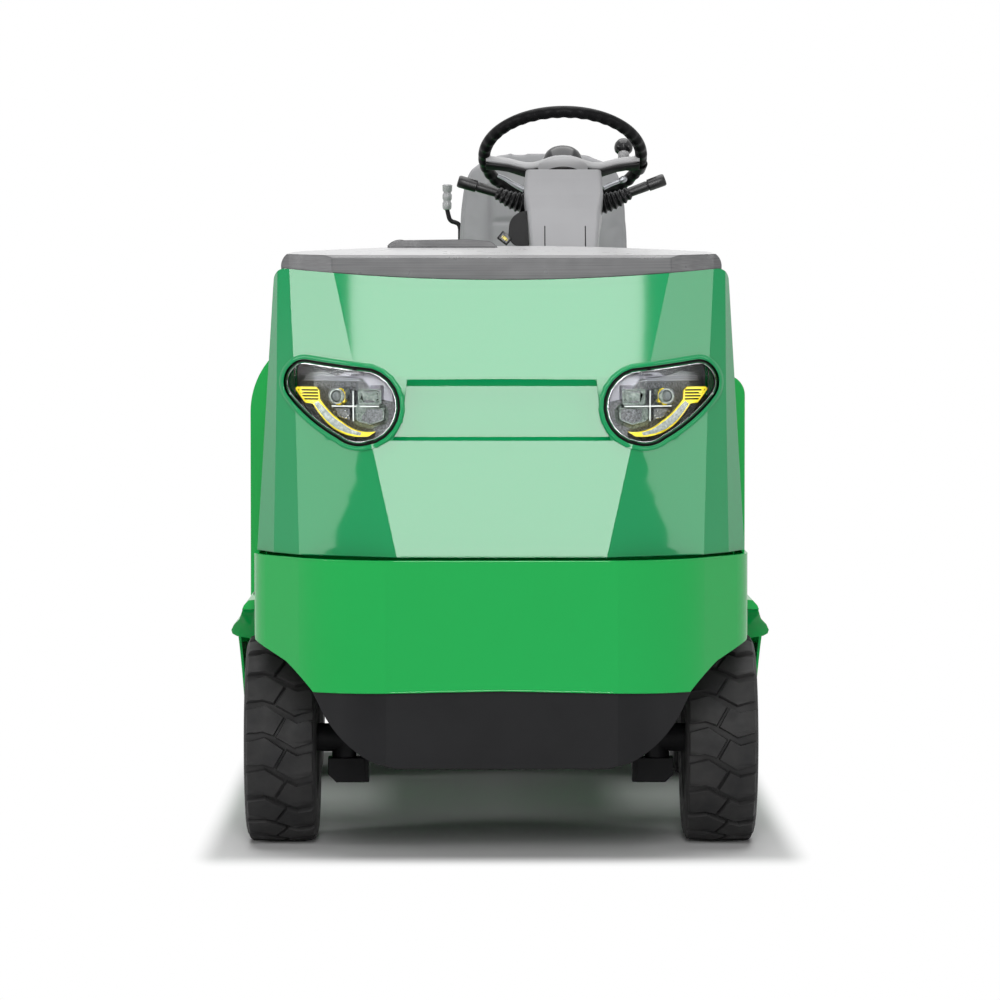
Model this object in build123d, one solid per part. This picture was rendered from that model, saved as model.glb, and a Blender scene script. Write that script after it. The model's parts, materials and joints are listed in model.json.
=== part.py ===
"""Four-wheel sit-on electric tow tractor for airport baggage trains.

Frame: X across the vehicle (+X is the driver's left), Y lengthwise (the front faces -Y), Z up.
The origin is on the ground under the middle of the vehicle's box. All lengths are millimetres.
Lengthwise places are stations, counted rearwards from the front of the bumper.
"""
from build123d import *
from math import atan2, cos, degrees, pi, radians, sin, sqrt
import os

# ---------------------------------------------------------------- overall
OVERALL_LENGTH = 2700.0
FRONT_Y = -OVERALL_LENGTH / 2
SEAT_GAP = 0.3            # gap between pieces that only rest against each other

# ---------------------------------------------------------------- wheels and axles
TYRE_RADIUS = 228.0
TYRE_WIDTH = 158.0
TYRE_SHOULDER = 20.0
RIM_RADIUS = 101.5        # bead seat
RIM_FLANGE_RADIUS = 116.0
RIM_WIDTH = 118.0
RIM_WALL = 6.0
DISC_THICKNESS = 10.0
HUB_RADIUS = 46.0
SPINDLE_RADIUS = 22.0
RUNNING_CLEARANCE = 0.05
AXLE_HEIGHT = TYRE_RADIUS
FRONT_AXLE_STATION = 480.0
REAR_AXLE_STATION = 1960.0
FRONT_HALF_TRACK = 479.0
REAR_HALF_TRACK = 517.0
FRONT_ARCH_RADIUS = 292.0
REAR_ARCH_RADIUS = 290.0
SILL_ARCH_RADIUS = 282.0

# front axle beam, fork ends and knuckles
KINGPIN_X = 345.0
KINGPIN_RADIUS = 13.0
BEAM_DEPTH = 70.0         # lengthwise
BEAM_HEIGHT = 70.0
JAW_LENGTH = 74.0         # across the vehicle
LOWER_JAW_BOTTOM = 131.0
LOWER_JAW_TOP = 184.0
UPPER_JAW_BOTTOM = 272.0
UPPER_JAW_TOP = 312.0
JAW_CLEARANCE = 1.0
STEER_ARM_LENGTH = 140.0
STEER_ARM_INSET = 20.0
TIE_ROD_RADIUS = 11.0
TIE_ROD_HEIGHT = 160.0
TIE_ROD_EYE_RADIUS = 20.0
TIE_ROD_PIN_RADIUS = 9.0

# ---------------------------------------------------------------- frame
RAIL_X = 210.0
RAIL_WIDTH = 60.0
RAIL_BOTTOM = 340.0
RAIL_TOP = 440.0
RAIL_FRONT = 60.0
RAIL_REAR = 2555.0
SPRING_WIDTH = 56.0
SPRING_LEAF = 9.0
SPRING_LEAVES = 4

# ---------------------------------------------------------------- front bodywork
BUMPER_TOP = 644.0
BUMPER_BOTTOM = 369.0
BUMPER_WALL = 10.0
BUMPER_HALF_WIDTH = 535.0
COWL_BOTTOM = 650.0
COWL_TOP_MIDDLE = 1234.0
COWL_TOP = COWL_TOP_MIDDLE + 25       # at the sides
COWL_WALL = 6.0
BEZEL_WIDTH = 9.0         # painted rim around each headlamp
BEZEL_PROUD = 6.0
APRON_BOTTOM = 204.0
APRON_WALL = 8.0
BODY_REAR_STATION = 690.0 # rear end of cowl and bumper sides
BULKHEAD_THICKNESS = 10.0
BULKHEAD_HALF_WIDTH = 466.0

# ---------------------------------------------------------------- dash, column, steering wheel
DASH_REAR_STATION = 702.0
DASH_FRONT_LIP = COWL_TOP_MIDDLE + 41
DASH_TOP = DASH_FRONT_LIP + 36
DASH_HALF_WIDTH = 470.0
STEER_X = 145.0
STEER_TILT = 32.5         # wheel plane from the horizontal
STEER_STATION = 950.0
STEER_HEIGHT = COWL_TOP_MIDDLE + 285
STEER_RING_RADIUS = 180.0
STEER_TUBE_RADIUS = 14.0
STALK_STATION = 880.0
KNOB_AT = (142.0, 28.0)   # spinner knob, from the wheel's centre

# ---------------------------------------------------------------- floor, sills
FLOOR_TOP = 500.0
FLOOR_THICKNESS = 8.0
FLOOR_HALF_WIDTH = 538.0
SILL_HALF_WIDTH = 602.0
SILL_REAR_STATION = 1690.0

# ---------------------------------------------------------------- rear bodywork
REAR_FRONT_STATION = 1250.0
REAR_END_STATION = 2560.0
REAR_HALF_WIDTH = 607.0
FENDER_INNER_X = 432.0
FENDER_WALL = 5.0
DECK_TOP = 830.0
DECK_THICKNESS = 30.0
HOOD_REAR_STATION = 1846.0
HINGE_STATION = 1853.0
HINGE_DROP = 15.0         # hinge pin under the hood's top
HINGE_HEIGHT = DECK_TOP - HINGE_DROP
HINGE_XS = (-250.0, 0.0, 250.0)
REAR_DECK_TOP = DECK_TOP + 70
REAR_DECK_FRONT = 1868.0
BAY_TOP = DECK_TOP - 32


def y_at(station):
    return FRONT_Y + station


def box(x0, x1, s0, s1, z0, z1):
    """Box between two X values, two stations and two heights."""
    return Pos((x0 + x1) / 2, y_at((s0 + s1) / 2), (z0 + z1) / 2) * Box(abs(x1 - x0), abs(s1 - s0), abs(z1 - z0))


def across(radius, x0, x1, station, z):
    """Cylinder along X."""
    return Pos((x0 + x1) / 2, y_at(station), z) * Rot(0, 90, 0) * Cylinder(radius, abs(x1 - x0))


def upright(radius, x, station, z0, z1):
    """Cylinder along Z."""
    return Pos(x, y_at(station), (z0 + z1) / 2) * Cylinder(radius, z1 - z0)


def side_profile(points, x0, x1):
    """Extrudes a (station, z) outline from x0 to x1."""
    face = Plane.YZ * outline([(y_at(s), z) for s, z in points])
    return Pos(min(x0, x1), 0, 0) * extrude(face, abs(x1 - x0), dir=(1, 0, 0))


def front_profile(points, s0, s1):
    """Extrudes an (x, z) outline from station s0 to s1."""
    return lengthwise(outline(points), s0, s1)


def mirror_x(shape):
    return mirror(shape, Plane.YZ)


def outline(points):
    """Closed face through (u, v) points; a point with a third value is passed by an arc between its neighbours."""
    edges, i, n = [], 0, len(points)
    while i < n:
        a, b = points[i], points[(i + 1) % n]
        if len(b) == 3:
            c = points[(i + 2) % n]
            edges.append(Edge.make_three_point_arc((a[0], a[1], 0), (b[0], b[1], 0), (c[0], c[1], 0)))
            i += 2
        else:
            edges.append(Edge.make_line((a[0], a[1], 0), (b[0], b[1], 0)))
            i += 1
    return make_face(Wire(edges))


def both_halves(right):
    """Points of the +X half, bottom or front first, followed by their mirror images."""
    return [*right, *[(-p[0], *p[1:]) for p in reversed(right)]]


def lengthwise(face, s0, s1):
    """Extrudes a face drawn in (x, z) from station s0 to s1."""
    return Pos(0, y_at(s0), 0) * extrude(Plane.XZ * face, s1 - s0, dir=(0, 1, 0))


def rod(p, q, radius):
    """Round bar between two points given as (x, station, z)."""
    a, b = Vector(p[0], y_at(p[1]), p[2]), Vector(q[0], y_at(q[1]), q[2])
    plane = Plane(origin=(a + b) / 2, z_dir=(b - a))
    return plane * Cylinder(radius, (b - a).length)


def on_column(shape):
    """Moves a shape made about the origin to the steering wheel's centre, its Z along the column."""
    return Pos(STEER_X, y_at(STEER_STATION), STEER_HEIGHT) * Rot(-STEER_TILT, 0, 0) * shape


# ---------------------------------------------------------------- front bodywork
def bumper_plan(inset, z0, z1):
    """Solid seen from above as the bumper's plan, inset evenly, and cut square at the body's rear."""
    w = BUMPER_HALF_WIDTH
    rear = BODY_REAR_STATION + 60
    right = [(245, y_at(0)), (347, y_at(37), 1), (432, y_at(118)), (508, y_at(236)), (528, y_at(281), 1),
             (w, y_at(330)), (w, y_at(rear))]
    face = outline(both_halves(right))
    if inset:
        face = offset(face, -inset, kind=Kind.INTERSECTION)
    solid = Pos(0, 0, z0) * extrude(face, z1 - z0, dir=(0, 0, 1))
    return solid & box(-700, 700, -50, BODY_REAR_STATION, z0 - 1, z1 + 1)


def bumper_lower_cut():
    """Everything under the bumper's lower contour, which sweeps up over the tyres."""
    right = [(0, BUMPER_BOTTOM), (400, BUMPER_BOTTOM - 8), (429, 392, 1), (461, 421), (534, 458), (560, 462), (560, 100)]
    return lengthwise(outline([*right, *[(-p[0], *p[1:]) for p in reversed(right[1:])]]), -20, 320)


def front_arch():
    return across(FRONT_ARCH_RADIUS, -700, 700, FRONT_AXLE_STATION, AXLE_HEIGHT)


def front_bumper():
    z0 = 330
    band = bumper_plan(0, z0, BUMPER_TOP) - bumper_plan(BUMPER_WALL, z0 - 2, BUMPER_TOP + 2)
    side_floor = box(-700, 700, 300, BODY_REAR_STATION + 1, z0 - 2, 458)
    return band - bumper_lower_cut() - front_arch() - side_floor


def front_apron():
    """Black plate under the bumper, narrowing downwards between the tyres."""
    z1 = 430
    band = bumper_plan(BUMPER_WALL, APRON_BOTTOM, z1) - bumper_plan(BUMPER_WALL + APRON_WALL, APRON_BOTTOM - 1, z1 + 1)
    right = [(226, APRON_BOTTOM), (270, 215), (346, 271, 1), (390, 338), (403, 362), (403, z1)]
    return band & lengthwise(outline(both_halves(right)), -20, 220)


# heights of the cowl's plan sections, and at each: station of the front, X of the crease,
# then the facet's outer end and the side's front end as (x, station)
COWL_SECTIONS = (
    # z, front, crease_x, facet_x, facet_station, side_station
    (600, 12, 210, 430, 134, 340),
    (650, 15, 221, 431, 134, 337),
    (895, 40, 276, 437, 142, 300),
    (1030, 45, 307, 441, 146, 276),
    (COWL_TOP_MIDDLE + 6, 110, 354, 452, 178, 238),
    (COWL_TOP_MIDDLE + 106, 141, 377, 458, 193, 220),
)


def cowl_half_width(z):
    return 488 + (COWL_TOP_MIDDLE + 11 - z) * 41 / 590


def cowl_section(row, inset):
    z, front, crease_x, facet_x, facet_station, side_station = row
    w = cowl_half_width(z) - inset
    front, side_station = front + inset, side_station + inset * 0.4
    facet_x, facet_station = facet_x - inset * 0.7, facet_station + inset * 0.7
    crease = (crease_x - inset * 0.2, y_at(front + 2))
    facet = (facet_x, y_at(facet_station))
    side = (w, y_at(side_station))
    corner = ((facet[0] + side[0]) / 2 + 9, (facet[1] + side[1]) / 2 - 6)
    right = [(0, y_at(front)), crease, facet, corner, side, (w, y_at(BODY_REAR_STATION + 30))]
    return Pos(0, 0, z) * outline([*right, *[(-p[0], *p[1:]) for p in reversed(right[1:])]])


def cowl_solid(inset, rear=BODY_REAR_STATION):
    solid = loft([cowl_section(row, inset) for row in COWL_SECTIONS], ruled=True)
    return solid & box(-700, 700, -50, rear, 500, COWL_TOP_MIDDLE + 166)


def below_cowl_top():
    """Everything under the scooped top edge of the cowl."""
    w, r = cowl_half_width(COWL_TOP) + 1.5, 26
    k = r * 0.293
    low = COWL_TOP - 129
    right = [(700, 300), (700, low), (w + 9, low), (w, COWL_TOP - r), (w - k, COWL_TOP - k, 1), (w - r, COWL_TOP)]
    face = outline([*right, (0, COWL_TOP_MIDDLE, 1), *[(-p[0], *p[1:]) for p in reversed(right)]])
    return lengthwise(face, -50, 850)


# headlamp outline on the +X side as (x, z); a third value marks a point on an arc
LAMP_OUTLINE = ((275, 1047.5), (214, 970, 1), (287, 885), (318, 884.5, 1), (347, 898), (405, 937, 1), (452, 984),
                (465, 1017, 1), (447, 1055), (431, 1064.5, 1), (412, 1065.5), (342, 1055.5, 1))


def lamp_prism(grow, s0=-30.0, s1=260.0):
    """Headlamp outline on the +X side, grown evenly and extruded lengthwise."""
    face = outline(LAMP_OUTLINE)
    if grow:
        face = offset(face, grow)
    return lengthwise(face, s0, s1)


def recess_prism(grow):
    points = ((-198 - grow, 1040), (198 + grow, 1040), (207 + grow, 963), (216 + grow, 931),
              (236 + grow, 880), (-236 - grow, 880), (-216 - grow, 931), (-207 - grow, 963))
    return front_profile(points, -60, 200)


def front_cowl():
    outer, inner = cowl_solid(0), cowl_solid(COWL_WALL)
    shell = outer - inner
    cut = side_profile([(-60, 893), (39, 894.5), (55, 903), (62, 1010), (44, 1026), (-60, 1032)], -300, 300)
    liner = side_profile([(36, 886), (61, 899), (68, 1010), (50, 1036), (40, 1036), (44, 1026),
                          (62, 1010), (55, 903), (39, 894.5), (34, 892)], -300, 300)
    shell += liner & recess_prism(5) & outer
    shell -= cut & recess_prism(0)
    ring = (lamp_prism(BEZEL_WIDTH) & cowl_solid(-BEZEL_PROUD)) - cowl_solid(1)
    for ring_side, hole in ((ring, lamp_prism(0)), (mirror_x(ring), mirror_x(lamp_prism(0)))):
        shell = (shell + ring_side) - hole
    shell = shell & below_cowl_top() & box(-700, 700, -50, 800, COWL_BOTTOM, COWL_TOP_MIDDLE + 166)
    return shell - front_arch()


def headlamp():
    """Black bucket on the +X side with its gasket ring, open towards the front."""
    bucket = lamp_prism(-0.5) & (cowl_solid(-2) - cowl_solid(72))
    pocket = lamp_prism(-8) & (cowl_solid(-12) - cowl_solid(64))
    return bucket - pocket


def headlamp_lens():
    return lamp_prism(-8.3) & (cowl_solid(-1) - cowl_solid(3))


# inside one lamp on the +X side: outlines as (x, z)
PROJECTOR = (348.5, 988.0, 16.5)
SQUARE_CELLS = (((321, 971), (366, 971), (366, 1004), (321, 1004)),
                ((254, 971), (304, 971), (304, 1004), (254, 1004)),
                ((252, 962), (304, 962), (304, 939), (278, 930.5), (252, 939)),
                ((322, 962), (356, 962), (345, 943), (322, 937)))
CROSS_BARS = (((259, 965), (361, 965), (361, 969), (259, 969)),
              ((312, 935), (316, 935), (316, 1000), (312, 1000)))
LIGHT_BAR = ((386, 982), (365, 955, 1), (338, 933.5), (310, 917, 1), (267, 913.5), (282, 903.5), (300, 902.5),
             (352, 917, 1), (376.5, 937.5), (394, 960, 1), (402, 972), (417.5, 973), (441, 1003), (436, 1007),
             (394.5, 1007), (387, 999))


def headlamp_unit():
    """Projector lens and reflector cells standing on the lamp's back plate."""
    plate = lamp_prism(-8.3) & (cowl_solid(56) - cowl_solid(63.7))
    for points in SQUARE_CELLS[1:]:
        plate += front_profile(points, -20, 200) & (cowl_solid(34) - cowl_solid(57))
    x, z, r = PROJECTOR
    barrel = Pos(x, y_at(90), z) * Rot(90, 0, 0) * Cylinder(r + 4, 220)
    lens = Pos(x, y_at(90), z) * Rot(90, 0, 0) * Cylinder(r, 220)
    plate += barrel & (cowl_solid(32) - cowl_solid(57))
    plate += lens & (cowl_solid(27) - cowl_solid(57))
    for points in CROSS_BARS:
        plate += front_profile(points, -20, 200) & (cowl_solid(24) - cowl_solid(57))
    return plate


def headlamp_light_bar():
    """Curved light guide with its comb-shaped head, standing off the back plate."""
    return front_profile(LIGHT_BAR, -20, 220) & (cowl_solid(18) - cowl_solid(56))


def dash_solid(inset):
    middle = COWL_TOP_MIDDLE
    section = cowl_section((middle + 28, 116, 360, 453, 180, 235), inset)
    prism = Pos(0, 0, -80) * extrude(section, 200, dir=(0, 0, 1))
    prism = prism & box(-700, 700, -50, DASH_REAR_STATION - inset, middle - 134, middle + 266)
    top = [(60, middle - 14), (60, DASH_FRONT_LIP + 4 - inset), (118 + inset, DASH_FRONT_LIP + 6 - inset),
           (130 + inset, DASH_FRONT_LIP + 12 - inset), (600, DASH_TOP - inset), (690, DASH_TOP - 3 - inset),
           (720, DASH_TOP - 17 - inset), (720, middle - 14)]
    w, crown, shoulder = DASH_HALF_WIDTH - inset, DASH_TOP + 1 - inset, DASH_TOP - 15 - inset
    right = [(w, middle - 34), (w, DASH_TOP - 55 - inset), (w - 8, shoulder - 10, 1), (w - 28, shoulder)]
    outer = outline([*right, (0, crown, 1), *[(-p[0], *p[1:]) for p in reversed(right)]])
    return prism & side_profile(top, -600, 600) & lengthwise(outer, -20, 780)


def dash_top():
    """Moulded grey cover over the cowl's scooped top edge."""
    cover = dash_solid(0) - dash_solid(5) - below_cowl_top()
    return cover - box(-600, 600, -50, 800, COWL_TOP_MIDDLE - 134, COWL_TOP_MIDDLE)


def display_pod():
    """Low rounded housing on the rear of the dash, on the passenger's side."""
    rear = DASH_REAR_STATION - 10
    z = DASH_TOP
    hump = [(-249, z - 21), (-249, z), (-236, z + 10, 1), (-212, z + 12), (-70, z + 14),
            (-34, z + 11), (-14, z + 4, 1), (-7, z - 3), (-7, z - 21)]
    return front_profile(hump, rear - 180, rear) - dash_solid(0)


def footwell_bulkhead():
    """Sheet across the front of the footwell, tapered like the cowl."""
    s0 = BODY_REAR_STATION - 8
    low, middle, high = FLOOR_TOP, BUMPER_TOP + 4, COWL_TOP_MIDDLE - 2
    w0 = BUMPER_HALF_WIDTH - BUMPER_WALL - 1
    w1, w2 = cowl_half_width(middle) - COWL_WALL - 0.6, cowl_half_width(high) - COWL_WALL - 0.6
    right = [(w0, low), (w0, middle - 2), (w1 - 4, middle + 2), (w2, high)]
    return front_profile(both_halves(right), s0, s0 + 8)


# ---------------------------------------------------------------- steering
# column shroud: distance below the steering wheel's plane, width, depth
SHROUD_SECTIONS = ((74, 172, 116), (100, 177, 118), (143, 179, 118), (180, 166, 114), (320, 146, 108))


def column_shroud():
    rings = [Pos(0, 0, -t) * RectangleRounded(width, depth, 10) for t, width, depth in SHROUD_SECTIONS]
    return on_column(loft(rings, ruled=True))


def steering_column():
    top = SHROUD_SECTIONS[0][0]
    tube = on_column(Pos(0, 0, -top - 250) * Cylinder(30, 500))
    column = column_shroud() + tube - on_column(Pos(0, 0, -60) * Cylinder(14.5, 130))
    return column & box(-700, 700, BODY_REAR_STATION, 1200, 900, STEER_HEIGHT + 81)


def tapered(p, q, r0, r1):
    """Round tapered bar between two points given as (x, station, z)."""
    a, b = Vector(p[0], y_at(p[1]), p[2]), Vector(q[0], y_at(q[1]), q[2])
    plane = Plane(origin=(a + b) / 2, z_dir=(b - a))
    return plane * Cone(r0, r1, (b - a).length)


# stalk: side, root height, neck (x, z) and grip's end (x, z), from the column's line and the wheel's centre
STALKS = ((-1, -111, 94, -87, 240, -58), (1, -111, 88, -85, 232, -53))


def column_levers():
    """Stalks with rubber bellows at their roots, one on each side of the column."""
    out = []
    for side, root_z, neck_x, neck_z, end_x, end_z in STALKS:
        root = (STEER_X + side * 66, STALK_STATION + 6, STEER_HEIGHT + root_z)
        neck = (STEER_X + side * (neck_x + 50), STALK_STATION, STEER_HEIGHT + neck_z)
        tip = (STEER_X + side * end_x, STALK_STATION, STEER_HEIGHT + end_z)
        stalk = tapered(root, neck, 24, 13) + rod(neck, tip, 14.5)
        out.append(stalk - column_shroud())
    return out


def control_pod():
    """Rounded switch housing on the column's lower corner with a tilted display block."""
    x, z = STEER_X, STEER_HEIGHT - 174
    housing = [(x - 125, z), (x - 124, z + 15), (x - 112, z + 37, 1), (x - 90, z + 47), (x - 60, z + 51),
               (x - 60, z - 33), (x - 108, z - 31), (x - 121, z - 20, 1)]
    block = Pos(x - 134, y_at(832), z - 14) * Rot(0, 38, 0) * Box(26, 24, 20)
    return front_profile(housing, 822, 872) + block - column_shroud()


def steering_wheel():
    """Padded rim on three spokes, with a horn dome and a spinner knob."""
    rim_face = Plane.XZ * Pos(STEER_RING_RADIUS, 0, 0) * RegularPolygon(STEER_TUBE_RADIUS, 8)
    wheel = revolve(rim_face, Axis.Z, 360)
    hub = [(14, -122), (14, -68), (30, -68), (30, -30), (52, -26), (52, -8), (38, 12), (0, 22)]
    wheel += revolve(Plane.XZ * outline([(0, -122), *hub]), Axis.Z, 360)
    spoke_face = outline([(0, -26), (58, -26), (110, -8), (172, -8), (172, 5), (106, 7), (56, -10), (0, -10)])
    for angle, width in ((2, 40), (178, 40), (90, 46)):
        spoke = Pos(0, width / 2, 0) * extrude(Plane.XZ * spoke_face, width, dir=(0, -1, 0))
        wheel += Rot(0, 0, angle) * spoke
    x, y = KNOB_AT
    knob = outline([(0, -12), (8, -12), (8, 30), (17, 34), (19, 45), (15, 58), (0, 63)])
    wheel += Pos(x, y, 0) * revolve(Plane.XZ * knob, Axis.Z, 360)
    wheel += Pos((x + STEER_RING_RADIUS) / 2, y + 4, 0) * Box(STEER_RING_RADIUS - x, 22, 16)
    return on_column(wheel)


# ---------------------------------------------------------------- front axle
def front_axle_beam():
    beam = box(-300, 300, FRONT_AXLE_STATION - BEAM_DEPTH / 2, FRONT_AXLE_STATION + BEAM_DEPTH / 2, 180, 245)
    for side in (-1, 1):
        web = box(side * 290, side * 308, FRONT_AXLE_STATION - 25, FRONT_AXLE_STATION + 25, LOWER_JAW_BOTTOM, UPPER_JAW_TOP)
        lower = front_profile([(side * 300, LOWER_JAW_BOTTOM), (side * 362, LOWER_JAW_BOTTOM), (side * 380, 149),
                               (side * 380, LOWER_JAW_TOP), (side * 300, LOWER_JAW_TOP)],
                              FRONT_AXLE_STATION - 30, FRONT_AXLE_STATION + 30)
        upper = box(side * 300, side * 376, FRONT_AXLE_STATION - 28, FRONT_AXLE_STATION + 28, UPPER_JAW_BOTTOM, UPPER_JAW_TOP)
        beam = beam + web + lower + upper
    for side in (-1, 1):
        beam -= upright(KINGPIN_RADIUS + 0.4, side * KINGPIN_X, FRONT_AXLE_STATION, 100, 330)
    return beam


def knuckle():
    """Steering knuckle of the +X side: kingpin, boss, wheel spindle and steering arm."""
    s = FRONT_AXLE_STATION
    shape = upright(KINGPIN_RADIUS, KINGPIN_X, s, LOWER_JAW_BOTTOM, UPPER_JAW_TOP)
    shape += upright(27, KINGPIN_X, s, LOWER_JAW_TOP + JAW_CLEARANCE, UPPER_JAW_BOTTOM - JAW_CLEARANCE)
    shape += across(31, KINGPIN_X, 426, s, AXLE_HEIGHT) + across(86, 418, 426, s, AXLE_HEIGHT)
    shape += across(SPINDLE_RADIUS, KINGPIN_X, FRONT_HALF_TRACK + 30, s, AXLE_HEIGHT)
    arm = box(KINGPIN_X - 10, KINGPIN_X + 10, s + 10, s + STEER_ARM_LENGTH, 200, 220)
    shape += arm + upright(17, KINGPIN_X, s + STEER_ARM_LENGTH, 200, 220)
    return shape + upright(TIE_ROD_PIN_RADIUS, KINGPIN_X, s + STEER_ARM_LENGTH, 200, 248)


def tie_rod():
    s, z = FRONT_AXLE_STATION + STEER_ARM_LENGTH, 232
    shape = across(TIE_ROD_RADIUS, -KINGPIN_X, KINGPIN_X, s, z)
    for side in (-1, 1):
        shape += upright(TIE_ROD_EYE_RADIUS, side * KINGPIN_X, s, z - 11.5, z + 11.5)
    for side in (-1, 1):
        shape -= upright(TIE_ROD_PIN_RADIUS + 0.3, side * KINGPIN_X, s, z - 20, z + 20)
    return shape


# springs: station, height under the leaves, half lengths from the top leaf down, camber
FRONT_SPRING = (FRONT_AXLE_STATION, 245.0, (320, 240, 170, 100), 26.0)
REAR_SPRING = (REAR_AXLE_STATION, 275.0, (320, 240, 170, 100), 14.0)


def leaf_spring(row):
    """Leaf pack on the +X side with a rolled eye at each end."""
    station, z0, halves, camber = row
    top = z0 + SPRING_LEAF * len(halves)
    radius = (halves[0] ** 2 + camber ** 2) / (2 * camber)
    zc = top + radius
    x0, x1 = RAIL_X - SPRING_WIDTH / 2, RAIL_X + SPRING_WIDTH / 2
    shape = None
    for i, half in enumerate(halves):
        ring = across(radius + SPRING_LEAF * (i + 1), x0, x1, station, zc) - across(radius + SPRING_LEAF * i, x0 - 1, x1 + 1, station, zc)
        leaf = ring & box(x0 - 1, x1 + 1, station - half, station + half, z0 - 5, top + camber + 5)
        shape = leaf if shape is None else shape + leaf
    for end in (-1, 1):
        shape += across(11, x0, x1, station + end * halves[0], top + camber - SPRING_LEAF / 2)
    for end in (-1, 1):
        shape -= across(6.3, x0 - 1, x1 + 1, station + end * halves[0], top + camber - SPRING_LEAF / 2)
    return shape


def spring_hangers(row):
    """Cheeks and pin that carry a spring's eyes under the +X rail."""
    station, z0, halves, camber = row
    z = z0 + SPRING_LEAF * len(halves) + camber - SPRING_LEAF / 2
    x0, x1 = RAIL_X - SPRING_WIDTH / 2, RAIL_X + SPRING_WIDTH / 2
    pieces = []
    for end in (-1, 1):
        s = station + end * halves[0]
        pieces.append(box(x0 - 12, x0 - 1.5, s - 16, s + 16, z - 16, RAIL_TOP - 40))
        pieces.append(box(x1 + 1.5, x1 + 12, s - 16, s + 16, z - 16, RAIL_TOP - 40))
        pieces.append(across(6, x0 - 12, x1 + 12, s, z))
    return pieces


# ---------------------------------------------------------------- chassis
def chassis_frame():
    rail = box(RAIL_X - RAIL_WIDTH / 2, RAIL_X + RAIL_WIDTH / 2, BUMPER_WALL + APRON_WALL, RAIL_REAR, RAIL_BOTTOM, RAIL_TOP)
    for row in (FRONT_SPRING, REAR_SPRING):
        for piece in spring_hangers(row):
            rail += piece
    frame = rail + mirror_x(rail)
    for s in (60, 1200, 2300):
        frame += box(-RAIL_X, RAIL_X, s, s + 50, RAIL_BOTTOM + 20, RAIL_TOP - 10)
    for s in (700, 920, 1130):
        frame += box(-540, 540, s, s + 40, RAIL_TOP - 10, FLOOR_TOP - FLOOR_THICKNESS)
    return frame


def rear_axle():
    s = REAR_AXLE_STATION
    shape = across(45, -400, 400, s, AXLE_HEIGHT)
    shape += Pos(0, y_at(s), AXLE_HEIGHT) * Rot(90, 0, 0) * Cylinder(90, 170)
    for side in (-1, 1):
        shape += across(SPINDLE_RADIUS, side * 380, side * (REAR_HALF_TRACK + 30), s, AXLE_HEIGHT)
        shape += across(86, side * 456, side * 464, s, AXLE_HEIGHT) + across(45, side * 400, side * 464, s, AXLE_HEIGHT)
        shape += box(side * 182, side * 238, s - 45, s + 45, 255, 275)
    return shape


def drive_motor():
    front, rear = REAR_AXLE_STATION - 405, REAR_AXLE_STATION - 85
    return Pos(0, y_at((front + rear) / 2), AXLE_HEIGHT + 6) * Rot(90, 0, 0) * Cylinder(84, rear - front)


def rim(half_track):
    """Wheel centre of the +X side: barrel with flanges, disc and a capped hub."""
    s, x = REAR_AXLE_STATION if half_track == REAR_HALF_TRACK else FRONT_AXLE_STATION, half_track
    w, inner, bore = RIM_WIDTH / 2, RIM_RADIUS - RIM_WALL, SPINDLE_RADIUS + RUNNING_CLEARANCE
    profile = outline([(-44, bore), (-44, HUB_RADIUS), (8, HUB_RADIUS), (8, inner), (-w - 6, inner),
                       (-w - 6, RIM_FLANGE_RADIUS), (-w, RIM_FLANGE_RADIUS), (-w, RIM_RADIUS), (w, RIM_RADIUS),
                       (w, RIM_FLANGE_RADIUS), (w + 6, RIM_FLANGE_RADIUS), (w + 6, inner),
                       (8 + DISC_THICKNESS, inner), (8 + DISC_THICKNESS, HUB_RADIUS), (44, HUB_RADIUS), (44, 0),
                       (32, 0), (32, bore)])
    return Pos(x, y_at(s), AXLE_HEIGHT) * revolve(profile, Axis.X, 360)


def tyre(half_track):
    s = REAR_AXLE_STATION if half_track == REAR_HALF_TRACK else FRONT_AXLE_STATION
    w, f = TYRE_WIDTH / 2, RIM_WIDTH / 2
    right = [(f, RIM_RADIUS), (f, RIM_FLANGE_RADIUS + 1), (w, 140), (w, TYRE_RADIUS - TYRE_SHOULDER),
             (w - TYRE_SHOULDER * 0.6, TYRE_RADIUS)]
    return Pos(half_track, y_at(s), AXLE_HEIGHT) * revolve(outline(both_halves(right)), Axis.X, 360)


# ---------------------------------------------------------------- floor, sills, battery
def floor_plate():
    z0, narrow = FLOOR_TOP - FLOOR_THICKNESS, BUMPER_HALF_WIDTH - BUMPER_WALL - 1
    return (box(-narrow, narrow, BODY_REAR_STATION - 8, BODY_REAR_STATION + 2, z0, FLOOR_TOP)
            + box(-FLOOR_HALF_WIDTH, FLOOR_HALF_WIDTH, BODY_REAR_STATION + 2, 1179, z0, FLOOR_TOP))


def pedals():
    """Accelerator and brake pads on their arms, hung from the bulkhead."""
    out = []
    for x, width in ((215, 70), (105, 80)):
        pad = box(x - width / 2, x + width / 2, 770, 778, 560, 640)
        arm = rod((x, 774, 630), (x, BODY_REAR_STATION, 720), 8) & box(-600, 600, BODY_REAR_STATION, 900, 500, 800)
        out.append(pad + arm)
    return out


# bulged sill on the +X side as (x, z), and the thin skirt under it
SILL_OUTLINE = ((540, 532), (556, 530), (566, 519), (582, 480), (595, 467), (SILL_HALF_WIDTH, 453), (600, 444),
                (590, 438), (556, 432), (540, 430))
SKIRT_OUTLINE = ((581, 437), (587, 437), (575, 236), (569, 236))


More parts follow.
